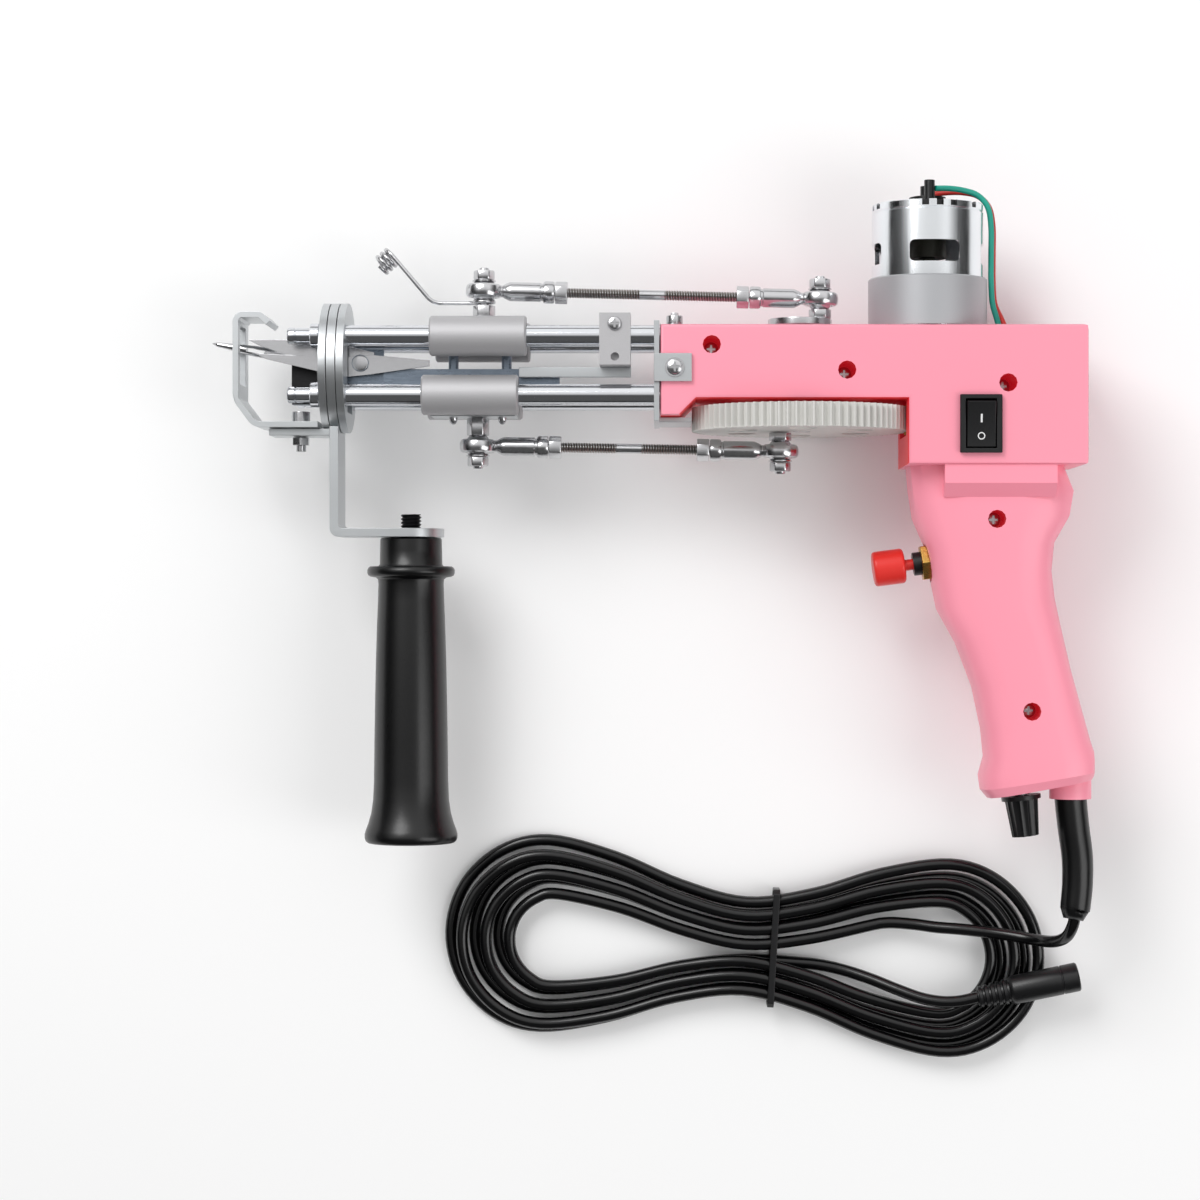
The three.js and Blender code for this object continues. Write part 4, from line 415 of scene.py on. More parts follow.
strokes, given, put = effect(
    "strokes", [("Size", VALUE, 300), ("Direction", VECTOR, (1, 1, 1)), ("Depth", VALUE, 0.2),
                ("Roughness", VALUE, 0.3), ("Spread", VALUE, 0.2)], [("Roughness", VALUE), ("Normal", VECTOR)])
line = noise_in(strokes, given, "Size", 4, "Direction")
strokes.links.new(spread_in(strokes, given, line, "Roughness", "Spread"), put.inputs["Roughness"])
strokes.links.new(bump_in(strokes, given, line, "Depth"), put.inputs["Normal"])
print("effects", [group.name for group in (mottle, grain, strokes)])

# %% [markdown]
# Each finish on the machine is one material made from those effects: a base colour written as sRGB hex,
# how metallic and how rough it is, and how its surface varies. A finish with a direction has strokes along
# the axis of the smallest number, and the others have grain. The two inner reds are painted shade: a deeper
# red than the pink, put on the housing's hollows in place of the shade there. Both also have a painted glow,
# an emission in place of light that comes through the thin pink plastic.

# %% Finishes
def linear(hex_colour):
    """An sRGB hex colour as the linear colour that a shader takes."""
    channels = [int(hex_colour[i:i + 2], 16) / 255 for i in (0, 2, 4)]
    return (*[c / 12.92 if c <= 0.04045 else ((c + 0.055) / 1.055) ** 2.4 for c in channels], 1)


def finish(name, colour, metallic, cloud, surface, direction=None):
    """A material with a mottled colour and the roughness and normal of one shared effect."""
    material = bpy.data.materials.new(name)
    material.use_nodes = True
    tree = material.node_tree
    shader = tree.nodes["Principled BSDF"]
    shader.inputs["Metallic"].default_value = metallic
    tint = tree.nodes.new("ShaderNodeGroup")
    tint.node_tree = mottle
    tint.inputs["Colour"].default_value = linear(colour)
    tint.inputs["Size"].default_value, tint.inputs["Amount"].default_value = cloud
    skin = tree.nodes.new("ShaderNodeGroup")
    skin.node_tree = strokes if direction else grain
    for title, value in zip(("Size", "Depth", "Roughness", "Spread"), surface):
        skin.inputs[title].default_value = value
    if direction:
        skin.inputs["Direction"].default_value = direction
    tree.links.new(tint.outputs["Colour"], shader.inputs["Base Color"])
    tree.links.new(skin.outputs["Roughness"], shader.inputs["Roughness"])
    tree.links.new(skin.outputs["Normal"], shader.inputs["Normal"])
    return material


# Name, colour, metallic, the mottle's size and amount, the surface's size, depth, roughness and spread.
finish_rows = [
    ("pink_plastic", "FF9CB0", 0, (12, 0.05), (1400, 0.05, 0.36, 0.12)),
    # The next two rows are painted shade: deeper reds for the housing's hollows, in place of the shade that
    # falls there.
    ("inside_shade_red", "F0343C", 0, (40, 0.1), (900, 0.05, 0.4, 0.1)),
    # This darker red is the painted shade deep in the screw recesses.
    ("recess_shade_red", "B01622", 0, (90, 0.3), (700, 0.1, 0.35, 0.1)),
    ("zinc_plate", "C9CCCE", 0.95, (25, 0.1), (110, 0.04, 0.36, 0.12), (1, 6, 6)),
    ("chrome_rod", "DADCE0", 1, (20, 0.05), (260, 0.03, 0.13, 0.1), (8, 1, 1)),
    ("bright_steel", "C9C9CB", 1, (60, 0.12), (500, 0.08, 0.22, 0.15)),
    ("grey_sleeve", "B9B8BA", 0.55, (30, 0.06), (2600, 0.35, 0.55, 0.12)),
    ("flux_ring", "B3B4B7", 0.5, (30, 0.05), (1800, 0.15, 0.5, 0.1)),
    ("blued_zinc", "7F8A97", 0.9, (160, 0.4), (200, 0.15, 0.3, 0.25), (1, 8, 8)),
    ("motor_can", "EEF1F4", 1, (18, 0.12), (120, 0.05, 0.2, 0.14), (6, 0.6, 6)),
    ("dark_iron", "33332B", 0.3, (80, 0.5), (500, 0.4, 0.5, 0.2), (1, 8, 1)),
    ("thread_steel", "857F7A", 1, (60, 0.12), (500, 0.05, 0.3, 0.1)),
    ("copper", "A8552E", 0.8, (80, 0.4), (700, 0.5, 0.4, 0.2), (1, 8, 1)),
    ("brass", "C9A055", 1, (40, 0.15), (500, 0.1, 0.28, 0.2), (1, 1, 6)),
    ("white_nylon", "D3D2CE", 0, (35, 0.08), (900, 0.15, 0.5, 0.1)),
    ("black_rubber", "050506", 0, (20, 0.2), (1200, 0.06, 0.3, 0.12)),
    ("black_steel", "1B1B1D", 0.6, (60, 0.3), (900, 0.2, 0.4, 0.15)),
    ("black_plastic", "0D0D0F", 0, (30, 0.15), (1600, 0.06, 0.34, 0.1)),
    ("red_plastic", "E02A22", 0, (20, 0.08), (900, 0.05, 0.35, 0.1)),
    ("red_insulation", "C8322C", 0, (60, 0.1), (900, 0.05, 0.4, 0.1)),
    ("green_insulation", "1FA08C", 0, (60, 0.1), (900, 0.05, 0.4, 0.1)),
    ("cord_jacket", "060607", 0, (40, 0.2), (700, 0.06, 0.2, 0.12)),
    ("print_white", "E8E8E8", 0, (40, 0.05), (900, 0.05, 0.5, 0.1)),
]
finishes = {row[0]: finish(*row) for row in finish_rows}
# Painted glow: a little red emission on the two painted-shade reds, in place of light coming through the
# plastic.
for title, painted_glow in (("inside_shade_red", 0.1), ("recess_shade_red", 0.35)):
    shader = finishes[title].node_tree.nodes["Principled BSDF"]
    shader.inputs["Emission Color"].default_value = linear("C81424")
    shader.inputs["Emission Strength"].default_value = painted_glow
cord.data.materials.append(finishes["cord_jacket"])
print(len(finishes), "finishes")

# %% [markdown]
# Before the pieces come the few moves that every piece needs. A turned part, as from a lathe, starts as a
# plane whose corners are merged to one point. That point is extruded along the profile, and the line is
# spun round its axis. This gives full control over each shoulder and chamfer, and a closed skin.

# %% Moves of the hand
slot_of = {entry["node"]: entry["material_slot"] for entry in frame["record"]["subparts"]}
done = {"cord_lead", "cord_hank"}
weld, soft_angle = 0.000002, 32


def fresh(*chosen):
    """Leaves edit mode and selects only the chosen pieces, because operators act on all that is selected."""
    if bpy.context.object and bpy.context.object.mode == "EDIT":
        bpy.ops.object.mode_set(mode="OBJECT")
    bpy.ops.object.select_all(action="DESELECT")
    for piece in chosen:
        piece.select_set(True)
        bpy.context.view_layer.objects.active = piece


def opened(piece):
    """Edit mode, with the whole mesh selected."""
    fresh(piece)
    bpy.ops.object.mode_set(mode="EDIT")
    bpy.ops.mesh.select_all(action="SELECT")


def settled(piece, smooth=soft_angle):
    """Closes a new mesh, turns its faces outwards and smooths its soft edges."""
    opened(piece)
    bpy.ops.mesh.remove_doubles(threshold=weld)
    bpy.ops.mesh.normals_make_consistent(inside=False)
    bpy.ops.object.mode_set(mode="OBJECT")
    bpy.ops.object.shade_smooth_by_angle(angle=math.radians(smooth))
    return piece


def drawn_line(name, places):
    """A mesh piece of one line through the places, extruded from a single point."""
    fresh()
    bpy.ops.mesh.primitive_plane_add(size=0.001, location=places[0])
    piece = bpy.context.object
    piece.name = piece.data.name = name
    bpy.ops.object.transform_apply()
    bpy.ops.object.mode_set(mode="EDIT")
    bpy.ops.mesh.select_mode(type="VERT")
    bpy.ops.mesh.select_all(action="SELECT")
    bpy.ops.mesh.merge(type="CENTER")
    for before, after in zip(places, places[1:]):
        bpy.ops.mesh.extrude_region_move(TRANSFORM_OT_translate={"value": after - before})
    return piece


def turned(name, profile, centre, along=Y, steps=48, smooth=soft_angle):
    """A turned part from a profile of radius and distance along its axis, in millimetres."""
    along = Vector(along).normalized()
    side = X if abs(along.z) > 0.5 else Z
    piece = drawn_line(name, [centre + (side * radius + along * way) * MM for radius, way in profile])
    bpy.ops.mesh.select_all(action="SELECT")
    bpy.ops.mesh.spin(steps=steps, angle=math.tau, center=centre, axis=along)
    return settled(piece, smooth)


def prism(name, sides, radius, low, high, centre, along=Y, edge=0.35):
    """A bar with flat sides and broken edges, such as a hexagon nut."""
    along = Vector(along).normalized()
    fresh()
    turn = along.to_track_quat("Z", "X").to_euler()
    bpy.ops.mesh.primitive_cylinder_add(vertices=sides, radius=radius * MM, depth=(high - low) * MM,
                                        location=centre + along * (low + high) / 2 * MM, rotation=turn)
    piece = bpy.context.object
    piece.name = piece.data.name = name
    bpy.ops.object.transform_apply()
    opened(piece)
    bpy.ops.mesh.bevel(offset=edge * MM, segments=2, affect="EDGES")
    return settled(piece)


print("moves ready")

# %% [markdown]
# Holes are cut as in a workshop: a block is shaped, its edges are rounded where the hole's are, and a
# Boolean takes it away. A repeated thing is modelled once and copied with a mesh of its own, so that each
# copy can be changed later without the others.

# %% Cutting and copying
def block(centre, size, turn=(0, 0, 0)):
    """A plain block, to cut with or to shape further."""
    fresh()
    bpy.ops.mesh.primitive_cube_add(size=1, location=centre, scale=size, rotation=turn)
    bpy.ops.object.transform_apply()
    return bpy.context.object


def cutter(low, high, round_edge=0.0):
    """A block to cut with, between two corners in millimetres, its upright edges rounded."""
    low, high = spot(*low), spot(*high)
    tool = block((low + high) / 2, high - low)
    if round_edge:
        for edge in tool.data.edges:
            a, b = (tool.data.vertices[i].co for i in edge.vertices)
            edge.select = abs((b - a).normalized().z) > 0.9
        bpy.ops.object.mode_set(mode="EDIT")
        bpy.ops.mesh.select_mode(type="EDGE")
        bpy.ops.mesh.bevel(offset=round_edge * MM, segments=5, affect="EDGES")
        bpy.ops.object.mode_set(mode="OBJECT")
    return tool


def cut(piece, *tools):
    """Cuts the tools out of a piece."""
    for tool in tools:
        fresh(piece)
        change = piece.modifiers.new("cut", "BOOLEAN")
        change.operation, change.solver, change.object = "DIFFERENCE", "EXACT", tool
        bpy.ops.object.modifier_apply(modifier=change.name)
        bpy.data.objects.remove(tool)
    fresh(piece)
    bpy.ops.object.shade_smooth_by_angle(angle=math.radians(soft_angle))
    return piece


def joined(name, *pieces):
    """Several shapes as one piece."""
    fresh(*pieces)
    bpy.context.view_layer.objects.active = pieces[0]
    bpy.ops.object.join()
    piece = bpy.context.object
    piece.name = piece.data.name = name
    return piece


def copied(piece, name, shift):
    """A copy with its own mesh, moved by millimetres."""
    fresh(piece)
    bpy.ops.object.duplicate(linked=False)
    twin = bpy.context.object
    twin.name = twin.data.name = name
    twin.location = Vector(shift) * MM
    bpy.ops.object.transform_apply()
    return twin


print("cutting and copying ready")

# %% [markdown]
# A finished piece that stands for a solid takes the solid's finish and moves with the solid's body, and the
# solid is then no longer shown. Small extra pieces name both. For things that lie on a surface, a ray from
# above finds their place.

# %% Handing a piece over
def finished(piece, stands_for=None, slot="bright_steel", body="frame"):
    """Gives a piece its finish and its body, or those of the solid that it stands for."""
    if stands_for:
        slot, body = slot_of[stands_for], nodes[stands_for]["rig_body"]
    if not piece.data.materials:
        piece.data.materials.append(finishes[slot])
    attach(piece, body)
    if stands_for:
        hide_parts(stands_for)
        done.add(stands_for)
    return piece


def top_of(piece, x, y):
    """The highest place of a piece at x and y, and the way that it faces there."""
    bpy.context.view_layer.update()
    return piece.ray_cast(spot(x, y, 60), -Z)[1:3]


print("handing over ready")

# %% [markdown]
# The four guide rods are ground steel bars. In front of the nose plates each has a collar and a thinner
# nose, whose small groove catches the light. One is turned and copied three times.

# %% Guide rods
rod_line = [
    (0, -191.8), (2.4, -191.8), (2.9, -191.5), (3.1, -191.1), (3.1, -189.1), (2.7, -188.9), (2.7, -188.6),
    (3.0, -188.4), (3.0, -183.2), (4.3, -183.2), (4.6, -182.9), (4.6, -180.1), (4.3, -179.8), (4.0, -179.8),
    (4.0, -49.1), (3.7, -48.8), (0, -48.8),
]
upper_rod, rod_drop, rod_side = 30.5, 22, 14.5
first_rod = turned("rod_upper_near_bar", rod_line, spot(0, upper_rod, rod_side), X)
for name, down, back in (("rod_upper_far", 0, 1), ("rod_lower_near", 1, 0), ("rod_lower_far", 1, 1)):
    twin = copied(first_rod, name + "_bar", (0, -rod_drop * down, -2 * rod_side * back))
    finished(twin, name)
finished(first_rod, "rod_upper_near")
print("rods", round(first_rod.dimensions.x, 4))

# %% [markdown]
# Four grey sleeves slide on the rods, two to each carriage. They are matte anodised tubes with a small
# chamfer at each end. The two upper ones ride with the cutter and the two lower ones with the needle.

# %% Sleeves
sleeve_line = [(4.3, -18), (6.9, -18), (7.5, -17.4), (7.5, 17.4), (6.9, 18), (4.3, 18), (4.3, -18)]
first_sleeve = turned("cutter_sleeve_near_tube", sleeve_line, spot(-120.7, upper_rod, rod_side), X)
for name, shift in (("cutter_sleeve_far", (0, 0, -2 * rod_side)), ("needle_sleeve_near", (-3, -rod_drop, 0)),
                    ("needle_sleeve_far", (-3, -rod_drop, -2 * rod_side))):
    finished(copied(first_sleeve, name + "_tube", shift), name)
finished(first_sleeve, "cutter_sleeve_near")
print("sleeve", [round(side, 4) for side in first_sleeve.dimensions])

# %% [markdown]
# A screw thread is one small ridge wound round a bar. The Screw modifier winds a profile of a single ridge
# upwards, and bisecting with fill trims both ends flat and closes them. It is made upright at the origin,
# where the modifier winds, and then laid in its place.

# %% Threads
def threaded(name, radius, pitch, low, high, centre, along, depth, steps=14):
    """A threaded bar between two distances along its axis, in millimetres."""
    shoulder = radius - pitch * 0.06
    rows = [(radius - depth, 0), (shoulder, pitch * 0.44), (radius, pitch * 0.5),
            (shoulder, pitch * 0.56), (radius - depth, pitch)]
    piece = drawn_line(name, [Vector((r, 0, low - 2 * pitch + z)) * MM for r, z in rows])
    bpy.ops.object.mode_set(mode="OBJECT")
    wind = piece.modifiers.new("thread", "SCREW")
    wind.axis, wind.screw_offset, wind.angle = "Z", pitch * MM, math.tau
    wind.iterations = math.ceil((high - low) / pitch) + 4
    wind.steps = wind.render_steps = steps
    wind.use_merge_vertices = True
    bpy.ops.object.modifier_apply(modifier=wind.name)
    bpy.ops.object.mode_set(mode="EDIT")
    for level, way in ((low, -1), (high, 1)):
        bpy.ops.mesh.select_all(action="SELECT")
        bpy.ops.mesh.remove_doubles(threshold=weld)
        bpy.ops.mesh.bisect(plane_co=Z * level * MM, plane_no=Z * way, use_fill=True, clear_outer=True)
    bpy.ops.object.mode_set(mode="OBJECT")
    piece.rotation_mode = "QUATERNION"
    piece.rotation_quaternion = Z.rotation_difference(Vector(along).normalized())
    piece.location = centre
    bpy.ops.object.transform_apply()
    return settled(piece, 60)


print("threads ready")

# %% [markdown]
# Each connecting rod is a threaded bar with a plain neck in its middle, two hexagon lock nuts and two ball
# ends. A ball end is a ring with a rounded rim round a polished ball, and a barrel that takes the thread.
# The rods lie at a slight slope, so everything is placed along the line between the two balls.

# %% Connecting rods
ring_line = [(4.7, -2.5), (5.9, -2.5), (6.6, -1.9), (6.9, -0.9), (6.9, 0.9), (6.6, 1.9), (5.9, 2.5), (4.7, 2.5),
             (4.7, -2.5)]
barrel_line = [
    (0, 6.0), (2.3, 6.0), (2.2, 7.0), (2.9, 8.2), (3.5, 9.6), (3.6, 10.4), (3.6, 21.3), (3.3, 21.7),
    (3.3, 22.3), (3.9, 22.5), (4.2, 23.1), (4.2, 26.1), (3.9, 26.6), (0, 26.6),
]
core_from, nut_from, thread_from, nut_to, half_neck = 12.3, 26.9, 31.4, 31.5, 4.8


def rod_end(name, ball, along):
    """A ball joint's ring and barrel, from the ball's centre along the rod."""
    across = Vector((-along.y, along.x, 0))
    ring = turned(name + "_ring", ring_line, ball, across)
    barrel = turned(name + "_barrel", barrel_line, ball, along)
    return finished(joined(name + "_joint", ring, barrel), name)


def connecting_rod(prefix, front, rear):
    """A whole rod between two balls."""
    front, rear = spot(*front), spot(*rear)
    along, reach = (rear - front).normalized(), (rear - front).length / MM
    rod_end(prefix + "_front_eye", front, along)
    rod_end(prefix + "_rear_eye", rear, -along)
    middle = reach / 2
    half = [(0, core_from), (1.65, core_from), (1.65, middle - half_neck), (1.85, middle - half_neck)]
    core = [*half, *((radius, reach - way) for radius, way in reversed(half))]
    parts = [
        turned("core", core, front, along, 24),
        threaded("thread", 2.0, 1.0, thread_from, middle - half_neck, front, along, 0.4),
        threaded("thread", 2.0, 1.0, middle + half_neck, reach - thread_from, front, along, 0.4),
        prism("nut", 6, 4.3, nut_from, nut_to, front, along),
        prism("nut", 6, 4.3, reach - nut_to, reach - nut_from, front, along),
    ]
    slots = ("bright_steel", "thread_steel", "thread_steel", "bright_steel", "bright_steel")
    for part, slot in zip(parts, slots):
        part.data.materials.append(finishes[slot])
    finished(joined(prefix + "_bar", *parts), prefix + "_link")
    print(prefix, "reach", round(reach, 1))


needle_front, needle_rear = (-121.7, -9.8), (-7.5, -11.8)
cutter_front, cutter_rear = (-119.4, 48.8), (7.5, 45.7)
connecting_rod("needle_rod", needle_front, needle_rear)
connecting_rod("cutter_rod", cutter_front, cutter_rear)

# %% [markdown]
# The ball of each joint sits on a bolt: a hexagon foot, a narrow neck, the ball, a washer, and a lock nut
# with the bolt's end showing. Two stand on the carriages as studs and two on the cranks as crank pins.

# %% Ball bolts
def ball_bolt(name, ball, up, foot, hex_top):
    """A ball on its bolt, with a hexagon foot below and a lock nut above."""
    arc = [(5 * math.cos(math.radians(a)), 5 * math.sin(math.radians(a))) for a in range(-42, 43, 7)]
    shank = [(0, -foot), (2.4, -foot), (2.4, -4.3), (3.1, -4.0), *arc, (3.1, 3.6), (2.0, 3.8), (2.0, 8.1),
             (1.7, 8.6), (0, 8.6)]
    washer = [(2.0, 3.5), (4.4, 3.5), (4.4, 3.9), (2.0, 3.9), (2.0, 3.5)]
    parts = [turned("ball", shank, ball, up, 40), turned("washer", washer, ball, up, 32),
             prism("foot", 6, 4.3, -foot, -hex_top, ball, up), prism("nut", 6, 4.1, 4.0, 7.7, ball, up, 0.55)]
    return finished(joined(name + "_bolt", *parts), name)


ball_bolt("cutter_stud", spot(*cutter_front), Y, 10.5, 5.6)
ball_bolt("needle_stud", spot(*needle_front), -Y, 10.5, 3.9)
ball_bolt("cutter_rod_crank_pin", spot(*cutter_rear), Y, 7.4, 3.9)
ball_bolt("needle_rod_crank_pin", spot(*needle_rear), -Y, 7.0, 3.9)
print("ball bolts on", needle_front, needle_rear, cutter_front, cutter_rear)

# %% [markdown]
# The motor's can is drawn sheet steel: a tube with rounded foot, four windows with round corners, and a
# crimped rim whose little notches hold the end cap. Below it sits a satin ring that carries the magnetic
# field. The can is turned, and the windows and notches are cut with blocks turned round its axis.

# %% Motor can
motor_x, can_reach = 48.2, 24
motor_axis = spot(motor_x, 0)
can = turned("motor_can_shell", [
    (2.8, 19.8), (19.5, 19.8), (19.5, 80.7), (19.8, 81.0), (20.6, 81.0), (20.9, 80.7), (20.9, 78.3),
    (20.7, 78.1), (20.7, 77.8), (21, 77.6), (21, 19.4), (20.7, 18.6), (20, 18.3), (2.8, 18.3), (2.8, 19.8),
], motor_axis, Y, 96)


def can_cutter(half, low, high, near, angle, round_edge=0.0):
    """A block to cut the can with, turned round the motor's axis."""
    tool = cutter((motor_x - half, low, near), (motor_x + half, high, can_reach), round_edge)
    tool.matrix_world = (Matrix.Translation(motor_axis) @ Matrix.Rotation(math.radians(angle), 4, "Y")
                         @ Matrix.Translation(-motor_axis))
    return tool


windows = [can_cutter(9.35, 57.9, 65.9, 10, 3 + 90 * quarter, 1.8) for quarter in range(4)]
notches = [can_cutter(1.3, 78.7, 82, 17, angle + 90 * quarter)
           for quarter in range(4) for angle in (-39, -7, 8, 23)]
cut(can, *windows, *notches)
finished(can, "motor_can")
band = [(21.3, 34.5), (22.4, 34.5), (22.4, 52.6), (21.9, 53.1), (21.3, 53.1), (21.3, 34.5)]
finished(turned("flux_ring_band", band, motor_axis, Y, 96), "flux_ring")
print("can faces", len(can.data.polygons))

# %% [markdown]
# Two insulated leads run from the terminals over the can and down its side into the housing. Each is a
# curve with a round bevel. The red one lies behind the green one and fans out at the hole.

# %% Motor leads
over = [(0, 1), (0.245, 1.07), (0.513, 1), (0.763, 0.7), (0.942, -0.13), (1, -1.52)]
down = [(0, 0.234), (0, 0.447), (0.14, 0.628), (0.6, 0.755), (0.94, 0.862), (1, 1)]
fans = [0, 0, 0.1, 0.2, 0.3, 0.35, 0.35, 0.35, 0.4, 0.7, 0.95, 1]
lead_start, lead_aside, lead_hole, lead_pitch = 50.5, 72.1, 77.0, 2.7
lead_top, lead_arch, lead_foot = 81.0, 5.4, 27.2
for name, side in (("lead_green", 1), ("lead_red", -1)):
    corners = [(lead_start + (lead_aside - lead_start) * a, lead_top + lead_arch * b) for a, b in over]
    turn_y = corners[-1][1]
    corners += [(lead_aside + (lead_hole - lead_pitch / 2 - lead_aside) * a,
                 turn_y + (lead_foot - turn_y) * b) for a, b in down]
    lead_line = []
    for i, ((x, y), fan) in enumerate(zip(corners, fans)):
        depth = max(8.5 * max(0, 1 - i / 3), lead_pitch / 2 * math.sqrt(1 - fan * fan))
        lead_line.append((x + (lead_pitch * fan if side < 0 else 0), y, side * depth))
    wire = round_wire(name + "_wire", smooth_line(lead_line, 5), 2.2)
    finished(wire, name)
print("leads of", len(lead_line), "corners each")

# %% [markdown]
# The side handle is moulded black plastic on a threaded stud. It is turned from one profile: a neck, a
# flange with a rounded rim, a grip that swells slowly, and a flared foot. The stud shows its coarse thread
# above the bracket.

# %% Side handle
handle_top = spot(-147, -44.3)
handle_line = [
    (0, -24.3), (4.3, -24.3), (4.3, -0.3), (11.1, -0.3), (11.6, -0.8), (11.7, -5), (11.8, -10.2), (12.3, -10.9),
    (15.3, -11.0), (16.1, -11.5), (16.5, -12.4), (16.5, -13.5), (16.1, -14.4), (15.2, -14.9), (13.3, -15.2),
    (12.5, -15.9), (12.3, -17.5), (12.5, -24), (12.9, -34), (13.25, -46), (13.55, -60), (13.8, -76),
    (14.0, -92), (14.3, -99), (15.0, -104), (16.1, -108), (17.0, -110.3), (17.5, -112), (17.5, -113.6),
    (17.1, -114.7), (16.3, -115.3), (0, -115.3),
]
grip = turned("side_handle_grip", handle_line, handle_top, Y, 72, 40)
finished(grip, "side_handle")
stud_core = turned("core", [(0, -24), (3.9, -24), (3.9, -4), (3.2, -4), (3.2, 8), (0, 8)], handle_top, Y, 32)
stud_thread = threaded("thread", 3.95, 1.35, -4, 8.6, handle_top, Y, 0.75, 24)
finished(joined("handle_stud_bar", stud_core, stud_thread), "handle_stud")
print("grip", [round(side, 4) for side in grip.dimensions])

# %% [markdown]
# A pan head screw is a turned dome with a cross cut into it, and it sits on a washer on each side tab. The
# blade's pivot and the bolts of the carriage plates are low plain domes.

# %% Screws on the sheet metal
def pan_head(name, radius, height, foot, up, washer=0.0):
    """A cross head screw seen from outside, with or without a washer under it."""
    base, rim = (0.5, washer) if washer else (0.0, radius)
    line = [(0, 0), (rim, 0), (rim, base), (radius, base), (radius, base + height * 0.35),
            (radius * 0.86, base + height * 0.75), (radius * 0.5, base + height * 0.96), (0, base + height)]
    piece = turned(name, line, foot, up, 32)
    bars = [block(foot + up * (base + height) * MM, Vector((wide * 2, tall * 2, 1.5)) * MM)
            for wide, tall in ((0.4, radius * 0.6), (radius * 0.6, 0.4))]
    return cut(piece, *bars)


def dome(name, radius, height, foot, up, on):
    """A small domed head that moves with the solid it is on."""
    arc = [(radius * math.cos(math.radians(a)), 0.3 + height * math.sin(math.radians(a)))
           for a in range(0, 90, 15)]
    piece = turned(name, [(0, 0), (radius, 0), *arc, (0, 0.3 + height)], foot, up, 32, 50)
    return finished(piece, body=nodes[on]["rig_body"])


for name, side in (("side_tab_screw_near", 1), ("side_tab_screw_far", -1)):
    screw = pan_head(name, 2.9, 1.9, spot(-47.4, 18, side * 25.8), Z * side, 3.6)
    finished(screw)
pivot_place = top_of(nodes["cutter_bar"], -165.5, 21)[0] - Z * 0.4 * MM
dome("blade_pivot_head", 3.15, 0.3, pivot_place, Z, "cutter_bar")
for i, x in enumerate((-128, -109.5)):
    dome(f"cutter_plate_screw_{i}", 2.6, 1.0, spot(x, 37.9, 0), Y, "cutter_carriage_plate")
    dome(f"needle_plate_screw_{i}", 1.7, 2.6, spot(x - 3, 1.1, 0), -Y, "needle_carriage_plate")
print("pivot head at height", round(pivot_place.z, 4))

# %% [markdown]
# One pan head clamps the cam block. Five more hold the two halves of the housing together, and each lies at
# the bottom of a deep recess, so it has no washer and only its cross catches any light.

# %% Screws in the block and the housing
block_screw = pan_head("cam_block_screw", 2.6, 1.4, spot(-69.7, 34.6, 20.9), Z)
finished(block_screw, body=nodes["cam_block"]["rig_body"])
housing_screws = [(-33.7, 26.4), (16.4, 17.0), (76.0, 12.4), (72.6, -37.8), (85.8, -109.6)]
first_x, first_y = housing_screws[0]
deep_screw = pan_head("housing_screw_1", 2.7, 1.8, spot(first_x, first_y, 3), Z)
for i, (x, y) in enumerate(housing_screws[1:], 2):
    finished(copied(deep_screw, f"housing_screw_{i}", (x - first_x, y - first_y, 0)))
finished(deep_screw)
print(len(housing_screws), "housing screws")

# %% [markdown]
# The top tab has a socket head cap screw. Its knurl is made by drawing in every other group of points round
# the rim, and a hexagon bar cuts the socket.

# %% Cap screw
middle = spot(-47.4, 35.5)
cap = prism("top_tab_screw", 48, 3.3, 0, 3.9, middle, Y, 0.3)
fresh(cap)
for corner in cap.data.vertices:
    out_way = Vector((corner.co.x - middle.x, 0, corner.co.z - middle.z))
    around = math.degrees(math.atan2(out_way.z, out_way.x)) % 15
    corner.select = out_way.length > 2.9 * MM and around > 7.4 and corner.co.y < middle.y + 3.2 * MM
bpy.ops.object.mode_set(mode="EDIT")
bpy.ops.mesh.select_mode(type="VERT")
bpy.ops.transform.resize(value=(0.93, 1, 0.93), center_override=middle)
bpy.ops.object.mode_set(mode="OBJECT")
cut(cap, prism("socket", 6, 1.5, 1.6, 5, middle, Y, 0.05))
finished(cap)
print("cap screw faces", len(cap.data.polygons))

# %% [markdown]
# The yarn guide is spring wire: a ring on the stud, a straight run, and three curls that the yarn is
# threaded through. As a curve it is truly round, and the curls come from one formula.

# %% Yarn guide
wire_base, stud_x, ring_reach = 44.6, cutter_front[0], 3.6
bend_x, bend_reach = -139.2, 3
curl_x, curl_y, curl_reach, curl_pitch, curls, curl_steps = -154.6, 62.8, 3.4, 2.1, 3, 20
wire_line = [(stud_x + ring_reach * math.cos(a), wire_base, ring_reach * math.sin(a))
             for a in (math.pi - step * 1.5 * math.pi / 16 for step in range(17))]
climb = Vector((curl_x - bend_x, curl_y - wire_base)).normalized()
for share in (step / 6 for step in range(7)):
    level, rising = bend_reach * (1 - share) ** 2, bend_reach * share ** 2
    wire_line.append((bend_x + level + climb.x * rising, wire_base + climb.y * rising, -ring_reach))
for step in range(curls * curl_steps + 1):
    angle, aside = step * math.tau / curl_steps, curl_pitch * step / curl_steps
    swing = curl_reach * math.sin(angle)
    wire_line.append((curl_x + climb.x * swing - climb.y * aside, curl_y + climb.y * swing + climb.x * aside,
                      curl_reach * (math.cos(angle) - 1) - ring_reach))
guide = round_wire("yarn_guide_wire", [spot(*place) for place in wire_line], 1.6)
finished(guide, "yarn_guide")
print("yarn guide of", len(wire_line), "points")

# %% [markdown]
# Many solids already have the right shape, but their edges are razor sharp and their meshes are loose
# triangles. A merged copy with a small bevel and smooth shading up to a set angle catches the light as a
# stamped or moulded edge does. Where sheet steel is bent, the bend's own edges get a wider bevel first.
# The copy stands for the solid, which itself is never changed.

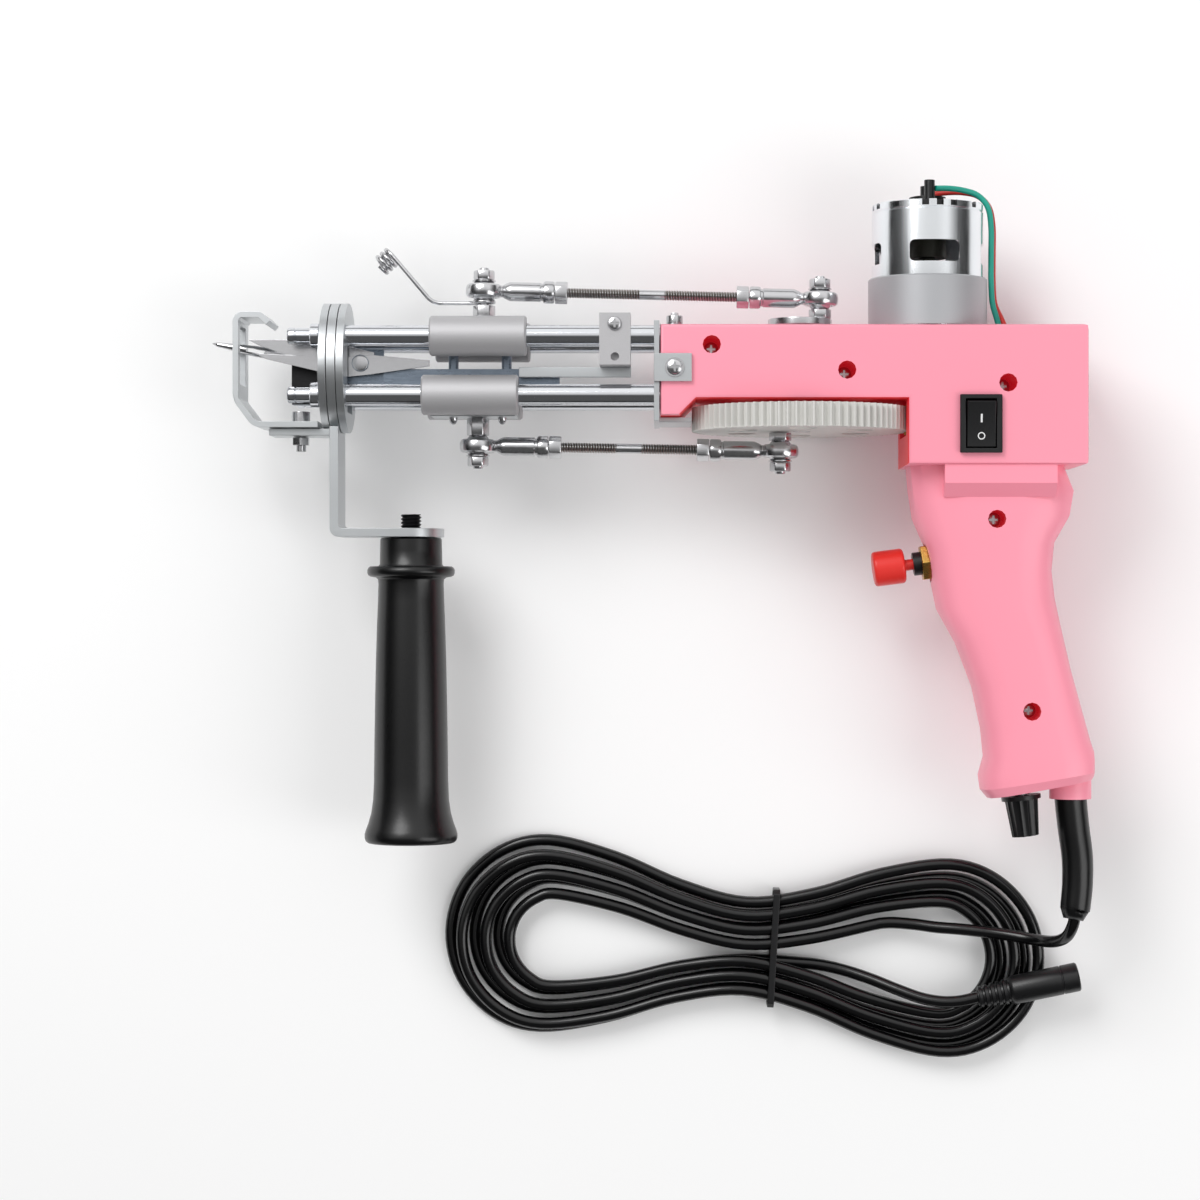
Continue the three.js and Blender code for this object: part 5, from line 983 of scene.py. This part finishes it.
# %% Edged copies
def edged(name, width=0.25, angle=soft_angle, steps=2, bends=()):
    """A merged copy of a solid with small bevelled edges, and wider ones at its bends."""
    solid = nodes[name]
    copy = bpy.data.objects.new(name + "_skin", solid.data.copy())
    copy.data.materials.clear()
    bpy.context.scene.collection.objects.link(copy)
    opened(copy)
    bpy.ops.mesh.remove_doubles(threshold=0.00001)
    bpy.ops.mesh.dissolve_limited(angle_limit=math.radians(0.6))
    for x, y, radius in bends:
        corner = spot(x, y)
        bpy.ops.object.mode_set(mode="OBJECT")
        for group in (copy.data.vertices, copy.data.edges, copy.data.polygons):
            group.foreach_set("select", [False] * len(group))
        for edge in copy.data.edges:
            a, b = (copy.data.vertices[i].co for i in edge.vertices)
            near = all((end - corner).xy.length < 0.5 * MM for end in (a, b))
            edge.select = near and abs((b - a).normalized().z) > 0.99
        bpy.ops.object.mode_set(mode="EDIT")
        bpy.ops.mesh.select_mode(type="EDGE")
        bpy.ops.mesh.bevel(offset=radius * MM, segments=5, affect="EDGES")
    bpy.ops.object.mode_set(mode="OBJECT")
    if width:
        bevel = copy.modifiers.new("edges", "BEVEL")
        bevel.width, bevel.segments = width * MM, steps
        bevel.limit_method, bevel.angle_limit = "ANGLE", math.radians(angle)
        bevel.use_clamp_overlap = True
        bpy.ops.object.modifier_apply(modifier=bevel.name)
    bpy.ops.object.shade_smooth_by_angle(angle=math.radians(angle))
    weigh = copy.modifiers.new("flat faces", "WEIGHTED_NORMAL")
    weigh.keep_sharp = True
    bpy.ops.object.modifier_apply(modifier=weigh.name)
    return finished(copy, name)


print("edging ready")

# %% [markdown]
# The presser foot is one strip of plated steel bent four times, and the handle bracket is a plate bent once
# into a foot for the handle. Their bends are rounded as a press brake leaves them.

# %% Bent sheet
foot = edged("presser_foot", 0.2, bends=[
    (-212.6, 37.6, 1.6), (-210.4, 39.8, 1.6), (-202, 39.8, 1.5), (-198.6, 36.4, 0.3),
    (-212.6, 6.8, 2.6), (-205, -3.4, 2.6), (-210.4, 6.8, 1.2), (-204, -1.2, 1.2),
])
bracket = edged("handle_bracket", 0.25, bends=[(-176.4, -44.3, 3.2), (-173.2, -41.1, 1.4)])
print("bent sheet", len(foot.data.polygons), len(bracket.data.polygons))

# %% [markdown]
# The housing is moulded in two halves of pink plastic. In the wheel well, in the slot and in the screw
# recesses little light comes in, and that shade is painted: those faces take deeper reds with a painted
# glow. So each half is given three materials, and its faces are sorted by where they lie.

# %% Housing
recess_reach, recess_floor, recess_rim = 3.75, 2.5, 6


def housing_material(centre, normal):
    """0 for the outside, 1 for the inside's painted shade and 2 for a screw recess's darker painted shade, from
    a face's place.
    """
    x, y, z = centre
    for screw_x, screw_y in housing_screws:
        in_recess = math.hypot(x - screw_x, y - screw_y) < recess_reach and z > recess_floor
        if in_recess and (z < recess_rim or abs(normal.z) < 0.5):
            return 2
    well_top = abs(y - 6.6) < 0.4 and normal.y < -0.7 and x < 39.5
    well_front = -47.5 < x < -38.5 and y < 6.9 and normal.x > 0.5
    well_rear = abs(x - 38.9) < 0.4 and normal.x < -0.7 and y > -17.4
    block_inside = -50 < x < 103.2 and -15.1 < y < 31.6 and abs(z) < 21.4
    return 1 if well_top or well_front or well_rear or block_inside else 0


for name in ("housing_near", "housing_far"):
    half = edged(name, 0.35, steps=3, bends=[(105.9, 34.2, 2.2), (105.9, -17.7, 1.6)])
    half.data.materials.clear()
    for title in ("pink_plastic", "inside_shade_red", "recess_shade_red"):
        half.data.materials.append(finishes[title])
    # Faces in the hollows take the painted-shade reds; the rest stay pink.
    for face in half.data.polygons:
        face.material_index = housing_material((face.center - wheel_centre) / MM, face.normal)
    print(name, [sum(face.material_index == i for face in half.data.polygons) for i in range(3)])

# %% [markdown]
# The rocker carries the two plain marks of every such switch: a bar for on and a ring for off. A ray finds
# the rocker's face under each mark, so that the marks lie on it whichever way it is tilted.

# %% Rocker marks
rocker = edged("switch_rocker", 0.3, 25, 3)
for title, y in (("rocker_on_mark", -0.9), ("rocker_off_mark", -7.4)):
    place, normal = top_of(rocker, 65.8, y)
    lift = place + normal * 0.02 * MM
    if title == "rocker_on_mark":
        mark = block(lift, Vector((0.7, 3.2, 0.16)) * MM, normal.to_track_quat("Z", "Y").to_euler())
        mark.name = mark.data.name = title
        opened(mark)
        bpy.ops.mesh.bevel(offset=0.03 * MM, segments=1, affect="EDGES")
        settled(mark)
    else:
        mark = turned(title, [(1.0, 0), (1.38, 0), (1.38, 0.08), (1.0, 0.08), (1.0, 0)], lift, normal, 32)
    finished(mark, slot="print_white", body=nodes["switch_rocker"]["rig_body"])
print("marks on", rocker.name)

# %% [markdown]
# The cord leaves the grip through a long black boot that narrows a little towards its end, and it ends in a
# round plug with a ribbed neck. The boot is a curve with a changing radius, and the plug is turned.

# %% Boot and plug
boot_route = [(102.19, -129.6), (102.19, -135), (102.29, -143), (103.39, -154), (104.79, -165),
              (104.89, -175), (104.2, -183), (103.99, -184.5), (103.99, -184.6)]
boot_line = smooth_line(boot_route)
boot_steps = len(boot_line) - 1
boot_radii = [6.3 - 0.7 * (i / boot_steps) for i in range(boot_steps + 1)]
boot_radii[-3:] = [5.35, 4.9, 2.6]
boot = round_wire("cord_boot", boot_line, 2.0, boot_radii, 8)
finished(boot, "cord_sleeve")
plug_start = spot(*beside_machine(tail_route[-1]))
plug_turn = math.radians(15) + hank_tilt
plug_way = Vector((math.cos(plug_turn), math.sin(plug_turn), 0))
plug_line = [(0, 0.3), (3.3, 0.3)]
for rib in range(5):
    low, root, crest = 0.6 + rib * 2.4, 3.4 + rib * 0.2, 4.1 + rib * 0.2
    plug_line += [(root, low), (crest, low + 0.3), (crest, low + 1.4), (root, low + 1.7)]
plug_line += [(4.3, 12.6), (5.3, 13.6), (5.6, 14.4), (5.6, 33), (5.35, 33.2), (5.35, 33.6), (5.6, 33.8),
              (5.6, 39.4), (5.2, 39.9), (3.4, 40), (3.2, 39.7), (3.2, 31), (0, 31)]
plug = turned("cord_plug_body", plug_line, plug_start, plug_way, 48)
finished(plug, "cord_plug")
print("boot of", boot_steps, "steps, plug of", len(plug.data.polygons), "faces")

# %% [markdown]
# Everything else keeps its solid's own shape and gets its edges. Thin blades and fine teeth take a smaller
# bevel than plates and blocks do. The needle bar's front end is black and the armature's core is dark iron,
# so their faces on one side of a limit take a second finish.

# %% The other pieces
second_finish = {"needle_bar": ("black_steel", 0, -180), "motor_armature": ("dark_iron", 1, 76)}
edge_widths = {"drive_wheel": 0.1, "needle": 0, "motor_pinion": 0.1, "speed_knob": 0.12, "fixed_blade": 0.08,
               "moving_blade": 0.08, "trigger_button": 0.5, "trigger_nut": 0.4, "switch_body": 0.35,
               "cam_block": 0.5}
for name in sorted(nodes):
    if name not in done:
        piece = edged(name, edge_widths.get(name, 0.25))
        if name in second_finish:
            title, axis, limit = second_finish[name]
            piece.data.materials.append(finishes[title])
            for face in piece.data.polygons:
                face.material_index = int(((face.center - wheel_centre) / MM)[axis] < limit)
print(len(done), "solids dressed")
